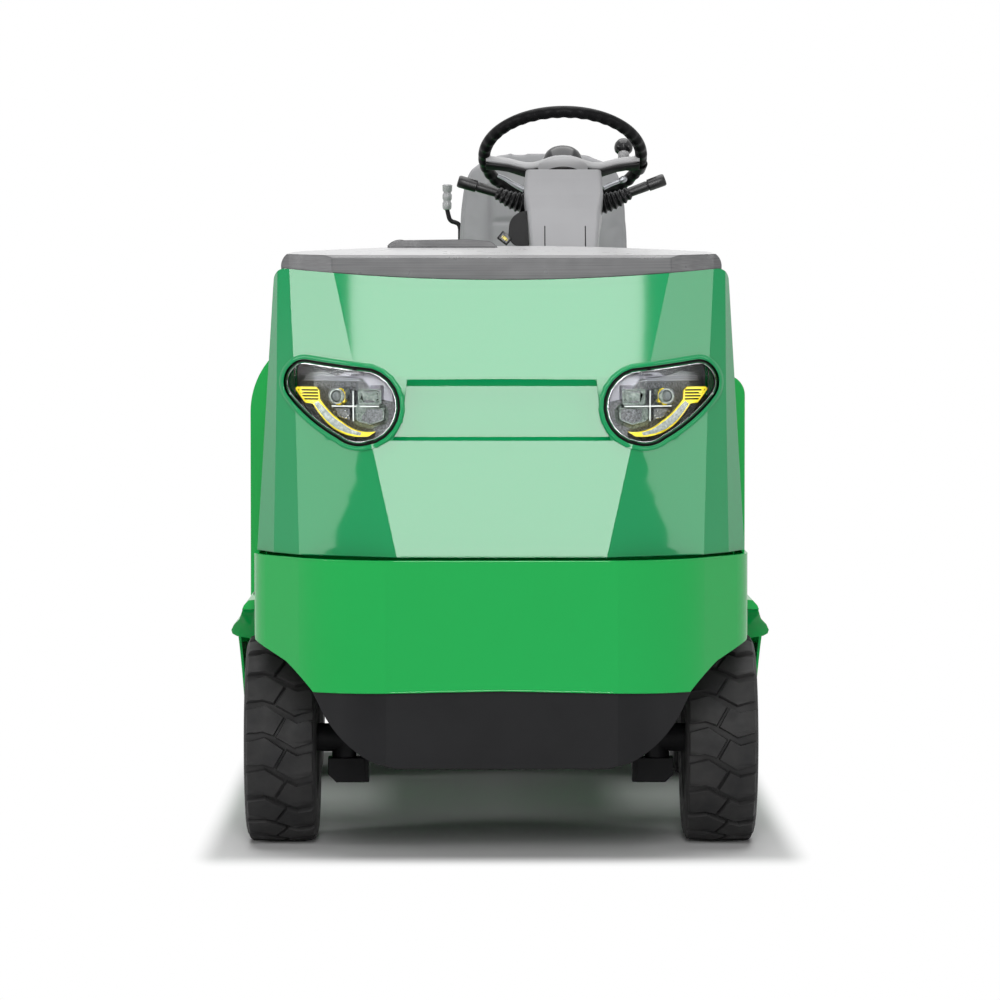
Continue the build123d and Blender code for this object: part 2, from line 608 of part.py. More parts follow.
def side_step():
    """Bulged sill of the +X side behind the front wheel, with the skirt under it."""
    shape = front_profile(SILL_OUTLINE, 480, SILL_REAR_STATION) + front_profile(SKIRT_OUTLINE, 480, SILL_REAR_STATION)
    return shape - across(SILL_ARCH_RADIUS, 530, 700, FRONT_AXLE_STATION, AXLE_HEIGHT)


def battery_box():
    """Open-topped steel box around the battery, standing on the rails."""
    outer = box(-416, 416, 1180, 1838, RAIL_TOP, BAY_TOP)
    return outer - box(-411, 411, 1185, 1833, RAIL_TOP + 5, BAY_TOP + 1)


def battery_pack():
    return box(-398, 398, 1198, 1820, RAIL_TOP + 5, BAY_TOP - 18)


def battery_hood():
    z0 = BAY_TOP + 0.3
    cover = box(-421, 421, 1172, HOOD_REAR_STATION - 4, z0, DECK_TOP)
    hollow = box(-415, 415, 1178, HOOD_REAR_STATION - 10, z0 - 1, DECK_TOP - 5)
    ribs = box(-411, 411, 1200, 1208, z0 + 2, DECK_TOP - 4) + box(-411, 411, 1500, 1508, z0 + 2, DECK_TOP - 4)
    hood = cover - hollow + ribs
    for x in HINGE_XS:
        leaf = box(x - 30, x + 30, HOOD_REAR_STATION - 6, HINGE_STATION, HINGE_HEIGHT - 4, HINGE_HEIGHT + 4)
        hood += leaf + across(8, x - 30, x + 30, HINGE_STATION, HINGE_HEIGHT)
    for x in HINGE_XS:
        hood -= across(3.8, x - 40, x + 40, HINGE_STATION, HINGE_HEIGHT)
    return hood


SEAT_X = 110.0
SEAT_WIDTH = 420.0
SEAT_BACK_STATION = 1556.0
SEAT_BASE_TOP = DECK_TOP + 90


def seat_base():
    return box(SEAT_X - 170, SEAT_X + 170, 1220, 1560, DECK_TOP, SEAT_BASE_TOP)


def seat_cushion():
    half, low = SEAT_WIDTH / 2, SEAT_BASE_TOP
    shape = box(SEAT_X - half, SEAT_X + half, 1160, 1640, low, low + 80)
    return fillet(shape.edges().filter_by(Axis.Y), 22)


def seat_backrest():
    right = [(206, 0), (212, 290), (199, 445), (180, 525, 1), (120, 552), (0, 560, 1)]
    face = outline([*right[:-1], right[-1], *[(-p[0], *p[1:]) for p in reversed(right[:-1])]])
    back = Pos(SEAT_X, 0, 0) * extrude(Plane.XZ * face, 92, dir=(0, 1, 0))
    back = Pos(0, y_at(SEAT_BACK_STATION), SEAT_BASE_TOP + 76) * Rot(-8, 0, 0) * back
    return back & box(-600, 600, 1400, 1900, SEAT_BASE_TOP + 80, SEAT_BASE_TOP + 780)


# ---------------------------------------------------------------- rear bodywork
def rear_body():
    """Two side pods over the rear wheels; the -X pod is taller with a broad rounded shoulder."""
    x0, w, t = FENDER_INNER_X - 4, REAR_HALF_WIDTH, FENDER_WALL

    def pod(d, top, radius):
        r, zc = radius - d, top - radius
        a = min(radians(90), atan2(1, 0) if w - radius >= x0 else atan2(sqrt(r * r - (w - radius - x0) ** 2), (x0 + d + radius - w)))
        end = (w - radius + r * cos(a), zc + r * sin(a))
        mid = (w - radius + r * cos(a / 2), zc + r * sin(a / 2), 1)
        points = [(x0 + d, 320), (w - d, 320), (w - d, zc), mid, end]
        if end[0] > x0 + d + 0.01:
            points.append((x0 + d, end[1]))
        return lengthwise(outline(points), 1700 + d, REAR_END_STATION - d)

    low_top, high_top = DECK_TOP + 177, DECK_TOP + 286
    arch = across(REAR_ARCH_RADIUS, 300, 700, REAR_AXLE_STATION, AXLE_HEIGHT)
    left = pod(0, low_top, 50) - pod(t, low_top, 50) - box(300, 700, 1600, 2600, 300, 335) - arch
    right = pod(0, high_top, 200) - pod(t, high_top, 200) - box(300, 700, 1600, 2600, 300, 335) - arch
    return left, mirror_x(right)


def rear_deck():
    """Flat load deck between the pods with a wall at each end, standing on the rails."""
    x = FENDER_INNER_X - 4
    plate = box(-x, x, REAR_DECK_FRONT, REAR_END_STATION, REAR_DECK_TOP - 6, REAR_DECK_TOP)
    front = box(-x, x, REAR_DECK_FRONT, REAR_DECK_FRONT + 6, RAIL_TOP, REAR_DECK_TOP)
    rear = box(-x, x, REAR_END_STATION - 6, REAR_END_STATION, RAIL_TOP, REAR_DECK_TOP)
    deck = plate + front + rear
    for x in HINGE_XS:
        deck += across(3.5, x - 44, x + 44, HINGE_STATION, HINGE_HEIGHT)
        for x0, x1 in ((x - 44, x - 31), (x + 31, x + 44)):
            deck += box(x0, x1, HINGE_STATION, REAR_DECK_FRONT, HINGE_HEIGHT - 6, HINGE_HEIGHT + 6)
            deck += across(8, x0, x1, HINGE_STATION, HINGE_HEIGHT)
    return deck


def rear_lamp():
    """Upright cluster of three round-cornered lenses on the +X pod's rear."""
    s0 = REAR_END_STATION
    plate = box(486, 570, s0, s0 + 8, 560, 800)
    for z0 in (568, 646, 724):
        lens = box(494, 562, s0 + 8, s0 + 24, z0, z0 + 68)
        plate += fillet(lens.edges().filter_by(Axis.Y), 10)
    return plate


def rear_bumper():
    plate = box(-560, 560, REAR_END_STATION, REAR_END_STATION + 40, 300, 520)
    plate = fillet(plate.edges().filter_by(Axis.Y), 24)
    for x in (-480, 480):
        lug = box(x - 8, x + 8, REAR_END_STATION + 38, REAR_END_STATION + 92, 375, 435)
        lug = fillet(lug.edges().filter_by(Axis.X).group_by(Axis.Y)[-1], 20)
        plate += lug - across(15, x - 20, x + 20, REAR_END_STATION + 66, 405)
    return plate


PIN_STATION = 2662.0


def tow_coupling():
    """Three-level jaw on the rear bumper; a vertical pin drops through its plates."""
    s0 = REAR_END_STATION + 40
    shape = box(-85, 85, s0, s0 + 16, 296, 474)
    for z0 in (296, 374, 452):
        plate = box(-85, 85, s0, 2700, z0, z0 + 22)
        shape += fillet(plate.edges().filter_by(Axis.Z).group_by(Axis.Y)[-1], 30)
    return shape - upright(15.5, 0, PIN_STATION, 280, 500)


def tow_pin():
    shape = upright(15, 0, PIN_STATION, 290, 500)
    shape += upright(23, 0, PIN_STATION, 474, 486)
    return shape + across(7, -38, 38, PIN_STATION, 500)


def parking_brake_lever():
    """Cranked lever that stands on the hood behind the backrest, with a ribbed grip."""
    x, s, top = -92.0, 1716.0, DECK_TOP + 554
    base = box(x - 22, x + 22, s - 30, s + 30, DECK_TOP, DECK_TOP + 46)
    rods = rod((x, s, DECK_TOP + 40), (x, s, top), 7) + rod((x + 3, s, top - 2), (x - 22, s, top - 2), 7)
    rods += rod((x - 21, s, top - 6), (x - 33, s, top + 34), 7)
    return base + rods + rod((x - 33, s, top + 26), (x - 31, s, top + 90), 9)


# ---------------------------------------------------------------- nodes
def nodes():
    """Every node's solid or solids, by name."""
    made = {
        "chassis_frame": chassis_frame(),
        "front_bumper": front_bumper(),
        "front_apron": front_apron(),
        "front_cowl": front_cowl(),
        "dash_top": dash_top(),
        "display_pod": display_pod(),
        "footwell_bulkhead": footwell_bulkhead(),
        "floor_plate": floor_plate(),
        "steering_column": steering_column(),
        "control_pod": control_pod(),
        "steering_wheel": steering_wheel(),
        "front_axle_beam": front_axle_beam(),
        "tie_rod": tie_rod(),
        "rear_axle": rear_axle(),
        "drive_motor": drive_motor(),
        "battery_box": battery_box(),
        "battery_pack": battery_pack(),
        "battery_hood": battery_hood(),
        "seat_base": seat_base(),
        "seat_cushion": seat_cushion(),
        "seat_backrest": seat_backrest(),
        "rear_deck": rear_deck(),
        "rear_bumper": rear_bumper(),
        "tow_coupling": tow_coupling(),
        "tow_pin": tow_pin(),
        "parking_brake_lever": parking_brake_lever(),
    }
    made["column_levers"] = Compound(column_levers())
    made["pedals"] = Compound(pedals())
    for name, solid in (("front_springs", leaf_spring(FRONT_SPRING)), ("rear_springs", leaf_spring(REAR_SPRING)),
                        ("rear_lamps", rear_lamp())):
        made[name] = Compound([solid, mirror_x(solid)])
    made["rear_pod_left"], made["rear_pod_right"] = rear_body()
    mirrored = {
        "headlamp": headlamp(),
        "headlamp_unit": headlamp_unit(),
        "headlamp_light_bar": headlamp_light_bar(),
        "headlamp_lens": headlamp_lens(),
        "side_step": side_step(),
        "front_knuckle": knuckle(),
        "front_rim": rim(FRONT_HALF_TRACK),
        "front_tyre": tyre(FRONT_HALF_TRACK),
        "rear_rim": rim(REAR_HALF_TRACK),
        "rear_tyre": tyre(REAR_HALF_TRACK),
    }
    for name, shape in mirrored.items():
        made[name + "_left"], made[name + "_right"] = shape, mirror_x(shape)
    return made


os.makedirs("parts", exist_ok=True)
for node, shape in nodes().items():
    export_step(shape, f"parts/{node}.step")
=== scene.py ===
"""Electric baggage tug: looks, fine pieces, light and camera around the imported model."""

import json
import math
import random

import bpy
import bmesh
from mathutils import Matrix, Vector
from mathutils.bvhtree import BVHTree

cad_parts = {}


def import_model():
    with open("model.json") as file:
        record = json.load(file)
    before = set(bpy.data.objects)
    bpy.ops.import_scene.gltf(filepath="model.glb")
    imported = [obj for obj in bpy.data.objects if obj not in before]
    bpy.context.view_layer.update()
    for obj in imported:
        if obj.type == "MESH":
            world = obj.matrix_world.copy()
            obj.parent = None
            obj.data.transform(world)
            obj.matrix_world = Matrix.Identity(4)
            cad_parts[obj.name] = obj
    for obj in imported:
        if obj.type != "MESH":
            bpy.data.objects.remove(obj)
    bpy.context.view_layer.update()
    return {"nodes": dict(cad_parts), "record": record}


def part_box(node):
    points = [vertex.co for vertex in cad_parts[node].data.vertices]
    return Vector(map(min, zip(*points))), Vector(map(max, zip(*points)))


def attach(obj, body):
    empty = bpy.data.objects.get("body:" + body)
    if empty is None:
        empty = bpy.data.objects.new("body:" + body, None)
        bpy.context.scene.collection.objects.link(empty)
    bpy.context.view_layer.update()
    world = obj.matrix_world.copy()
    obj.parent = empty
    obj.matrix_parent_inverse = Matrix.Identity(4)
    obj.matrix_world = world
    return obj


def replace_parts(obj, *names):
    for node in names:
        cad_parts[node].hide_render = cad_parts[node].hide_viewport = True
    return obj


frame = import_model()
NODES = frame["nodes"]
MM = 0.001
FRONT_Y = -1.35


def stn(station):
    """Lengthwise place, in millimetres, of a point given in millimetres behind the front-most point."""
    return station + FRONT_Y / MM


# ---------------------------------------------------------------- materials
def material(name, colour, roughness=0.5, **sockets):
    """New material with one Principled shader, its sockets set by name."""
    mat = bpy.data.materials.new(name)
    mat.use_nodes = True
    shader = mat.node_tree.nodes["Principled BSDF"]
    shader.inputs["Base Color"].default_value = (*colour, 1.0)
    shader.inputs["Roughness"].default_value = roughness
    for key, value in sockets.items():
        shader.inputs[key.replace("_", " ")].default_value = value
    return mat


def shader_of(mat):
    return mat.node_tree.nodes["Principled BSDF"]


def join(source, target):
    source.id_data.links.new(source, target)


def new_node(owner, kind, operation=None, **values):
    """Adds a node to a material or world; values fill its input sockets by name, with _ for a space."""
    node = owner.node_tree.nodes.new("ShaderNode" + kind)
    if operation:
        node.operation = operation
    for key, value in values.items():
        node.inputs[key.replace("_", " ")].default_value = value
    return node


def object_coordinates(mat, stretch):
    mapping = new_node(mat, "Mapping", Scale=stretch)
    join(new_node(mat, "TexCoord").outputs["Object"], mapping.inputs["Vector"])
    return mapping.outputs["Vector"]


def noise(mat, scale, detail=4.0, stretch=(1, 1, 1)):
    texture = new_node(mat, "TexNoise", Scale=scale, Detail=detail)
    join(object_coordinates(mat, stretch), texture.inputs["Vector"])
    return texture.outputs["Fac"]


def ranged(mat, value, low, high, from_low=0.3, from_high=0.7):
    """Value remapped to low..high, as a rule from the middle of a noise."""
    node = new_node(mat, "MapRange", From_Min=from_low, From_Max=from_high, To_Min=low, To_Max=high)
    join(value, node.inputs["Value"])
    return node.outputs["Result"]


def blend_in(mat, other, share):
    """Mixes the base colour with another one by a share socket."""
    base = shader_of(mat).inputs["Base Color"]
    mix = new_node(mat, "Mix")
    mix.data_type = "RGBA"
    first, second = [s for s in mix.inputs if s.type == "RGBA"]
    first.default_value, second.default_value = base.default_value, (*other, 1.0)
    if base.is_linked:
        join(base.links[0].from_socket, first)
    join(share, mix.inputs["Factor"])
    join([s for s in mix.outputs if s.type == "RGBA"][0], base)


def mottle(mat, scale, other, stretch=(1, 1, 1)):
    """Mixes the base colour with another one by a noise."""
    blend_in(mat, other, ranged(mat, noise(mat, scale, stretch=stretch), 0.0, 1.0))


def rough_patches(mat, scale, low, high):
    join(ranged(mat, noise(mat, scale), low, high), shader_of(mat).inputs["Roughness"])


def bump(mat, height, strength, distance):
    """Adds a bump from a height socket on top of any bump that the shader has."""
    node = new_node(mat, "Bump", Strength=strength, Distance=distance)
    target = shader_of(mat).inputs["Normal"]
    if target.is_linked:
        join(target.links[0].from_socket, node.inputs["Normal"])
    join(height, node.inputs["Height"])
    join(node.outputs["Normal"], target)


def grain(mat, scale, strength, distance):
    """Fine leather or moulded grain from small cells."""
    cells = new_node(mat, "TexVoronoi", Scale=scale)
    join(object_coordinates(mat, (1, 1, 1)), cells.inputs["Vector"])
    bump(mat, cells.outputs["Distance"], strength, distance)


def soft_edges(mat, radius):
    """Rounds hard edges in shading, so that they catch the light."""
    node = new_node(mat, "Bevel", Radius=radius)
    node.samples = 6
    target = shader_of(mat).inputs["Normal"]
    while target.is_linked:
        target = target.links[0].from_node.inputs["Normal"]
    join(node.outputs["Normal"], target)


def body_paint(name, colour):
    """Deep green enamel under a clear coat, with faint tone changes and orange peel."""
    mat = material(name, colour, 0.45, Specular_IOR_Level=0.0, Coat_Weight=0.6, Coat_Roughness=0.03,
                   Coat_IOR=1.5)
    mottle(mat, 1.4, (colour[0] * 1.2, colour[1] * 1.04, colour[2] * 1.12))
    bump(mat, noise(mat, 90.0, 2.0), 0.02, 0.002)
    soft_edges(mat, 0.004)
    return mat


def satin(name, colour, roughness, spec=0.12):
    mat = material(name, colour, roughness, Specular_IOR_Level=spec)
    mottle(mat, 6.0, tuple(c * 1.35 for c in colour))
    rough_patches(mat, 14.0, roughness - 0.06, roughness + 0.08)
    bump(mat, noise(mat, 260.0, 3.0), 0.08, 0.001)
    soft_edges(mat, 0.003)
    return mat


def moulded(name, colour, roughness=0.5, scale=900.0, strength=0.25, spec=0.5):
    mat = material(name, colour, roughness, Specular_IOR_Level=spec)
    mottle(mat, 5.0, tuple(min(c * 1.12, 1.0) for c in colour))
    grain(mat, scale, strength, 0.0004)
    soft_edges(mat, 0.002)
    return mat


def tyre_rubber(name):
    mat = material(name, (0.02, 0.02, 0.021), 0.55, Specular_IOR_Level=0.22)
    mottle(mat, 18.0, (0.036, 0.035, 0.035))
    rough_patches(mat, 30.0, 0.5, 0.72)
    bump(mat, noise(mat, 420.0, 5.0), 0.18, 0.0012)
    return mat


def metal(name, colour, roughness):
    mat = material(name, colour, roughness, Metallic=1.0)
    rough_patches(mat, 40.0, roughness - 0.05, roughness + 0.1)
    bump(mat, noise(mat, 300.0, 3.0, stretch=(1, 1, 6)), 0.04, 0.0005)
    return mat


def lens_glass(name):
    mat = material(name, (0.96, 0.98, 0.98), 0.02, Transmission_Weight=1.0, IOR=1.1)
    bump(mat, noise(mat, 24.0, 1.0), 0.02, 0.001)
    return mat


def lit_guide(name):
    mat = material(name, (0.84, 0.66, 0.03), 0.2, Emission_Strength=0.12)
    shader_of(mat).inputs["Emission Color"].default_value = (1.0, 0.8, 0.05, 1.0)
    grain(mat, 220.0, 0.3, 0.001)
    return mat


def speckled(name):
    """Dark textured backing inside a lamp."""
    mat = material(name, (0.018, 0.02, 0.02), 0.4)
    mottle(mat, 260.0, (0.16, 0.165, 0.175))
    grain(mat, 420.0, 0.5, 0.0008)
    return mat


def flecked(name, colour, other):
    """Pressed reflector plastic with small lighter flecks."""
    mat = material(name, colour, 0.24)
    mottle(mat, 170.0, other)
    grain(mat, 200.0, 0.4, 0.0008)
    return mat


def paint_top_reflection(mat, other):
    """Painted reflection: turns the base colour into another one where the surface faces up."""
    parts = new_node(mat, "SeparateXYZ")
    join(new_node(mat, "NewGeometry").outputs["Normal"], parts.inputs["Vector"])
    blend_in(mat, other, ranged(mat, parts.outputs["Z"], 0.0, 1.0, 0.90, 0.985))


def streaked(name):
    """Grey moulding with faint streaks across, and light grey where it faces up as a painted reflection."""
    mat = material(name, (0.065, 0.065, 0.068), 0.3, Specular_IOR_Level=0.5)
    mottle(mat, 60.0, (0.12, 0.12, 0.125), stretch=(0.06, 1, 6))
    # painted reflection: upward faces turn light grey in place of the dash top's bright grazing reflection
    paint_top_reflection(mat, (0.50, 0.50, 0.505))
    rough_patches(mat, 30.0, 0.26, 0.38)
    grain(mat, 800.0, 0.15, 0.0003)
    soft_edges(mat, 0.004)
    return mat


def green_reflection_ring(name):
    """Painted reflection of the green body paint: a dark green ring just inside a lens."""
    mat = material(name, (0.003, 0.07, 0.022), 0.2)
    mottle(mat, 22.0, (0.006, 0.14, 0.05))
    return mat


# maker of a look: {name: the maker's other arguments}
LOOKS = {
    # painted shade: the cowl's copy of the body paint is less green and a little bluer, to offset its strong
    # reflections
    body_paint: {"body_paint": [(0.0012, 0.43, 0.073)], "cowl_paint": [(0.0012, 0.335, 0.10)]},
    satin: {
        "black_paint": [(0.011, 0.011, 0.012), 0.42],
        "frame_paint": [(0.012, 0.012, 0.013), 0.5],
        "wheel_paint": [(0.42, 0.43, 0.45), 0.4, 0.5],
        "gasket": [(0.004, 0.005, 0.004), 0.4, 0.05]},
    moulded: {
        "grey_plastic": [(0.31, 0.31, 0.32), 0.42],
        "dark_plastic": [(0.009, 0.009, 0.0095), 0.32, 900.0, 0.25, 0.16],
        "lamp_housing": [(0.02, 0.022, 0.022), 0.3, 300.0, 0.15],
        "rear_lamp_lens": [(0.42, 0.01, 0.01), 0.12, 160.0, 0.4],
        "seat_cover": [(0.28, 0.28, 0.29), 0.48, 620.0, 0.35, 0.35],
        "battery_case": [(0.05, 0.055, 0.06), 0.5, 120.0, 0.2],
        "floor_rubber": [(0.018, 0.018, 0.019), 0.55, 200.0, 0.5],
        "grip_rubber": [(0.0045, 0.0045, 0.005), 0.36, 500.0, 0.4, 0.09],
        "light_plastic": [(0.38, 0.38, 0.385), 0.42],
        "gloss_black": [(0.012, 0.012, 0.013), 0.16, 700.0, 0.05, 0.4],
        "boot_rubber": [(0.006, 0.006, 0.0065), 0.25, 420.0, 0.3, 0.2],
        "lever_grip": [(0.009, 0.009, 0.0095), 0.3, 600.0, 0.2, 0.4],
        "lamp_shelf": [(0.22, 0.23, 0.24), 0.35, 260.0, 0.4],
        "lamp_lilac": [(0.33, 0.32, 0.37), 0.3, 160.0, 0.3],
        "lamp_white": [(0.55, 0.58, 0.55), 0.25, 220.0, 0.25],
        "lamp_eye": [(0.10, 0.11, 0.11), 0.06, 90.0, 0.1],
        # painted shade: a darker grey for the hub cover than for the spoke covers, offsetting the top light on its
        # upward faces
        "hub_shaded_plastic": [(0.25, 0.25, 0.255), 0.42],
        "grip_steel": [(0.36, 0.36, 0.37), 0.3],
        "amber_lens": [(0.75, 0.16, 0.01), 0.12, 160.0, 0.4],
        "clear_lens": [(0.62, 0.63, 0.64), 0.12, 160.0, 0.4]},
    metal: {
        "bare_steel": [(0.50, 0.50, 0.52), 0.3],
        "stalk_chrome": [(0.34, 0.35, 0.37), 0.32],
        "lamp_silver": [(0.75, 0.76, 0.78), 0.22],
        "dull_steel": [(0.20, 0.20, 0.21), 0.42]},
    flecked: {
        "lamp_chrome": [(0.10, 0.125, 0.11), (0.26, 0.30, 0.27)],
        "guide_fill": [(0.16, 0.18, 0.165), (0.40, 0.43, 0.40)]},
    tyre_rubber: {"tyre": []}, lens_glass: {"lamp_lens": []}, lit_guide: {"light_guide": []},
    speckled: {"lamp_speckle": []}, streaked: {"dash_plastic": []}, green_reflection_ring: {"green_paint_reflection": []}}
MATERIALS = {name: make(name, *rest) for make, rows in LOOKS.items() for name, rest in rows.items()}
NODE_LOOKS = {"front_cowl": "cowl_paint", "dash_top": "dash_plastic", "display_pod": "dash_plastic",
              "headlamp_left": "gasket", "headlamp_right": "gasket", "headlamp_unit_left": "lamp_speckle",
              "headlamp_unit_right": "lamp_speckle"}


def dress_nodes():
    """Gives every CAD node the material of its slot, or its own shade of it."""
    for part in frame["record"]["subparts"]:
        mesh = NODES[part["node"]].data
        mesh.materials.clear()
        mesh.materials.append(MATERIALS[NODE_LOOKS.get(part["node"], part["material_slot"])])
    for side in ("left", "right"):
        NODES["headlamp_lens_" + side].visible_shadow = False


# ---------------------------------------------------------------- shapes
# A shape is a pair (points, faces). Points are in millimetres until a piece is made of them.
def merged(*shapes):
    points, faces = [], []
    for some_points, some_faces in shapes:
        base = len(points)
        points += list(some_points)
        faces += [tuple(i + base for i in face) for face in some_faces]
    return points, faces


def placed(shape, *matrices):
    """Copies of a shape, one for each matrix."""
    return merged(*[([m @ Vector(p) for p in shape[0]], shape[1]) for m in matrices])


def at(x, y, z):
    return Matrix.Translation((x, y, z))


def turned(axis, degrees):
    return Matrix.Rotation(math.radians(degrees), 4, axis)


def skin(rows, ring=True, loop=False, caps=True):
    """Skin over rows of equal length; ring joins each row's ends, loop joins the last row to the first."""
    n, count = len(rows[0]), len(rows)
    faces = []
    for i in range(count if loop else count - 1):
        a, b = i * n, (i + 1) % count * n
        for j in range(n if ring else n - 1):
            k = (j + 1) % n
            faces.append((a + j, a + k, b + k, b + j))
    if caps and ring and not loop:
        faces.append(tuple(reversed(range(n))))
        faces.append(tuple((count - 1) * n + j for j in range(n)))
    return [p for row in rows for p in row], faces


def circle(n, radius=1.0):
    """Points round a circle."""
    return [(radius * math.cos(2 * math.pi * k / n), radius * math.sin(2 * math.pi * k / n)) for k in range(n)]


def lathe(profile, n=64, closed=False):
    """(radius, height) profile turned about Z."""
    rows = [[(r * x, r * y, z) for r, z in profile] for x, y in circle(n)]
    return skin(rows, ring=closed, loop=True)


def knob(profile, n=24):
    """(radius, height) profile turned about Z and closed to the axis at both ends."""
    return lathe([(0.01, profile[0][1]), *profile, (0.01, profile[-1][1])], n)


def sweep(path, radii, n=14):
    """Round tube along a line of points; radii is one number or one for each point."""
    path = [Vector(p) for p in path]
    radii = radii if isinstance(radii, (list, tuple)) else [radii] * len(path)
    rows, side = [], None
    for i, point in enumerate(path):
        along = (path[min(i + 1, len(path) - 1)] - path[max(i - 1, 0)]).normalized()
        side = side or along.orthogonal()
        side = (side - along * side.dot(along)).normalized()
        other = along.cross(side)
        turn = [2 * math.pi * k / n for k in range(n)]
        rows.append([point + (side * math.cos(t) + other * math.sin(t)) * radii[i] for t in turn])
    return skin(rows)


def curved(points, steps=6):
    """Smooth line through points (Catmull-Rom)."""
    points = [Vector(p) for p in points]
    out = []
    for i in range(len(points) - 1):
        a, b, c, d = points[max(i - 1, 0)], points[i], points[i + 1], points[min(i + 2, len(points) - 1)]
        for k in range(steps):
            t = k / steps
            out.append(0.5 * (2 * b + (c - a) * t + (2 * a - 5 * b + 4 * c - d) * t * t
                              + (3 * b - a - 3 * c + d) * t * t * t))
    return out + [points[-1]]


def prism(outline, low, high, across="y"):
    """Flat outline pushed from low to high along an axis; the outline's two numbers are the other axes in order."""
    def point(p, h):
        return {"x": (h, p[0], p[1]), "y": (p[0], h, p[1]), "z": (p[0], p[1], h)}[across]
    return skin([[point(p, low) for p in outline], [point(p, high) for p in outline]])


def corners(x0, x1, z0, z1):
    return [(x0, z0), (x1, z0), (x1, z1), (x0, z1)]


def cuboid(x0, x1, y0, y1, z0, z1):
    return prism(corners(x0, x1, z0, z1), y0, y1)


def worked(shape, work):
    """Runs a bmesh function on a shape."""
    mesh = bmesh.new()
    made = [mesh.verts.new(p) for p in shape[0]]
    for face in shape[1]:
        if len(set(face)) > 2:
            try:
                mesh.faces.new([made[i] for i in face])
            except ValueError:
                pass
    bmesh.ops.remove_doubles(mesh, verts=mesh.verts, dist=1e-4)
    bmesh.ops.recalc_face_normals(mesh, faces=mesh.faces)
    work(mesh)
    mesh.verts.index_update()
    out = [v.co.copy() for v in mesh.verts], [tuple(v.index for v in f.verts) for f in mesh.faces]
    mesh.free()
    return out


SHARP_ANGLE = math.radians(30)


def softened(shape, width):
    """Rounds every edge sharper than an angle."""
    def work(mesh):
        sharp = [e for e in mesh.edges if e.is_manifold and e.calc_face_angle(0) > SHARP_ANGLE]
        bmesh.ops.bevel(mesh, geom=sharp, offset=width, segments=2, profile=0.5, affect="EDGES", clamp_overlap=True)
    return worked(shape, work)


def inset_outline(outline, distance):
    """Outline moved inwards (counter-clockwise outlines) by a distance."""
    out, n = [], len(outline)
    for i in range(n):
        p, q, r = (Vector(outline[k][:2]) for k in (i - 1, i, (i + 1) % n))
        a, b = (q - p).normalized(), (r - q).normalized()
        na, nb = Vector((-a.y, a.x)), Vector((-b.y, b.x))
        mid = na + nb
        mid = mid / max(mid.length, 1e-6)
        out.append(tuple(q + mid * distance / max(mid.dot(na), 0.35)))
    return out


def rounded_outline(outline, radius, steps=4):
    """Outline whose corners are rounded; a radius may be one number or one for each corner."""
    out, n = [], len(outline)
    for i in range(n):
        p, q, r = (Vector(outline[k]) for k in (i - 1, i, (i + 1) % n))
        wanted = radius[i] if isinstance(radius, (list, tuple)) else radius
        reach = min(wanted, (p - q).length * 0.49, (r - q).length * 0.49)
        start, end = q + (p - q).normalized() * reach, q + (r - q).normalized() * reach
        for k in range(steps + 1):
            t = k / steps
            out.append(tuple(start * (1 - t) ** 2 + q * 2 * t * (1 - t) + end * t * t))
    return out


def new_object(name, shape, matrix=Matrix.Identity(4)):
    """Object made of a cleaned shape."""
    points, faces = worked(shape, lambda mesh: None)
    mesh = bpy.data.meshes.new(name)
    mesh.from_pydata([tuple((matrix @ p) * MM) for p in points], [], faces)
    obj = bpy.data.objects.new(name, mesh)
    bpy.context.scene.collection.objects.link(obj)
    return obj


def piece(name, shape, slot, look=None, smooth=35.0, body="chassis", matrix=Matrix.Identity(4)):
    """Object made of a shape; it has a slot's finish, or a shade of it, and rides on a body."""
    return dress(new_object(name, shape, matrix), slot, look, smooth, body)


def dress(obj, slot, look=None, smooth=35.0, body="chassis"):
    obj.data.materials.clear()
    obj.data.materials.append(MATERIALS[look or slot])
    obj.data.polygons.foreach_set("use_smooth", [True] * len(obj.data.polygons))
    obj.data.set_sharp_from_angle(angle=math.radians(smooth))
    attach(obj, body)
    return obj


TREES = {}
# lengthwise places in metres: in front of everything, just behind the front, and the rear end of what counts as front
FAR_AHEAD, NEAR_FRONT, FRONT_ENDS = -4.0, FRONT_Y + 0.13, FRONT_Y + 0.4


def seen_from_front(node, x, z):
    """Point (metres) where a line from the front at (x, z) first meets a CAD node, or None."""
    if node not in TREES:
        mesh = NODES[node].data
        points = [v.co.copy() for v in mesh.vertices]
        TREES[node] = BVHTree.FromPolygons(points, [tuple(p.vertices) for p in mesh.polygons])
    return TREES[node].ray_cast(Vector((x * MM, FAR_AHEAD, z * MM)), Vector((0, 1, 0)))[0]


def front_of(node, x, z):
    """Lengthwise place (mm) of a CAD node's front at (x, z), or of its nearest point where it has none."""
    hit = seen_from_front(node, x, z)
    if hit is None:
        hit = TREES[node].find_nearest(Vector((x * MM, NEAR_FRONT, z * MM)))[0]
    return hit.y / MM


def slice_through(mesh, point, normal):
    bmesh.ops.bisect_plane(mesh, geom=mesh.verts[:] + mesh.edges[:] + mesh.faces[:], dist=0.01,
                           plane_co=point, plane_no=normal)


INLAY_CELL = 7.0


def inlay(outline, node, proud, thickness):
    """Plate with a given outline laid on the front of a CAD node and standing proud of it."""
    def lay(mesh):
        for axis, normal in ((0, Vector((1, 0, 0))), (2, Vector((0, 0, 1)))):
            values = [v.co[axis] for v in mesh.verts]
            low, high = min(values), max(values)
            for k in range(1, max(int((high - low) / INLAY_CELL), 1)):
                slice_through(mesh, normal * (low + k * INLAY_CELL), normal)
        for v in mesh.verts:
            v.co.y = front_of(node, v.co.x, v.co.z) - proud
        for item in bmesh.ops.extrude_face_region(mesh, geom=mesh.faces[:])["geom"]:
            if isinstance(item, bmesh.types.BMVert):
                item.co.y += thickness
    return worked(([(x, 0, z) for x, z in outline], [tuple(range(len(outline)))]), lay)


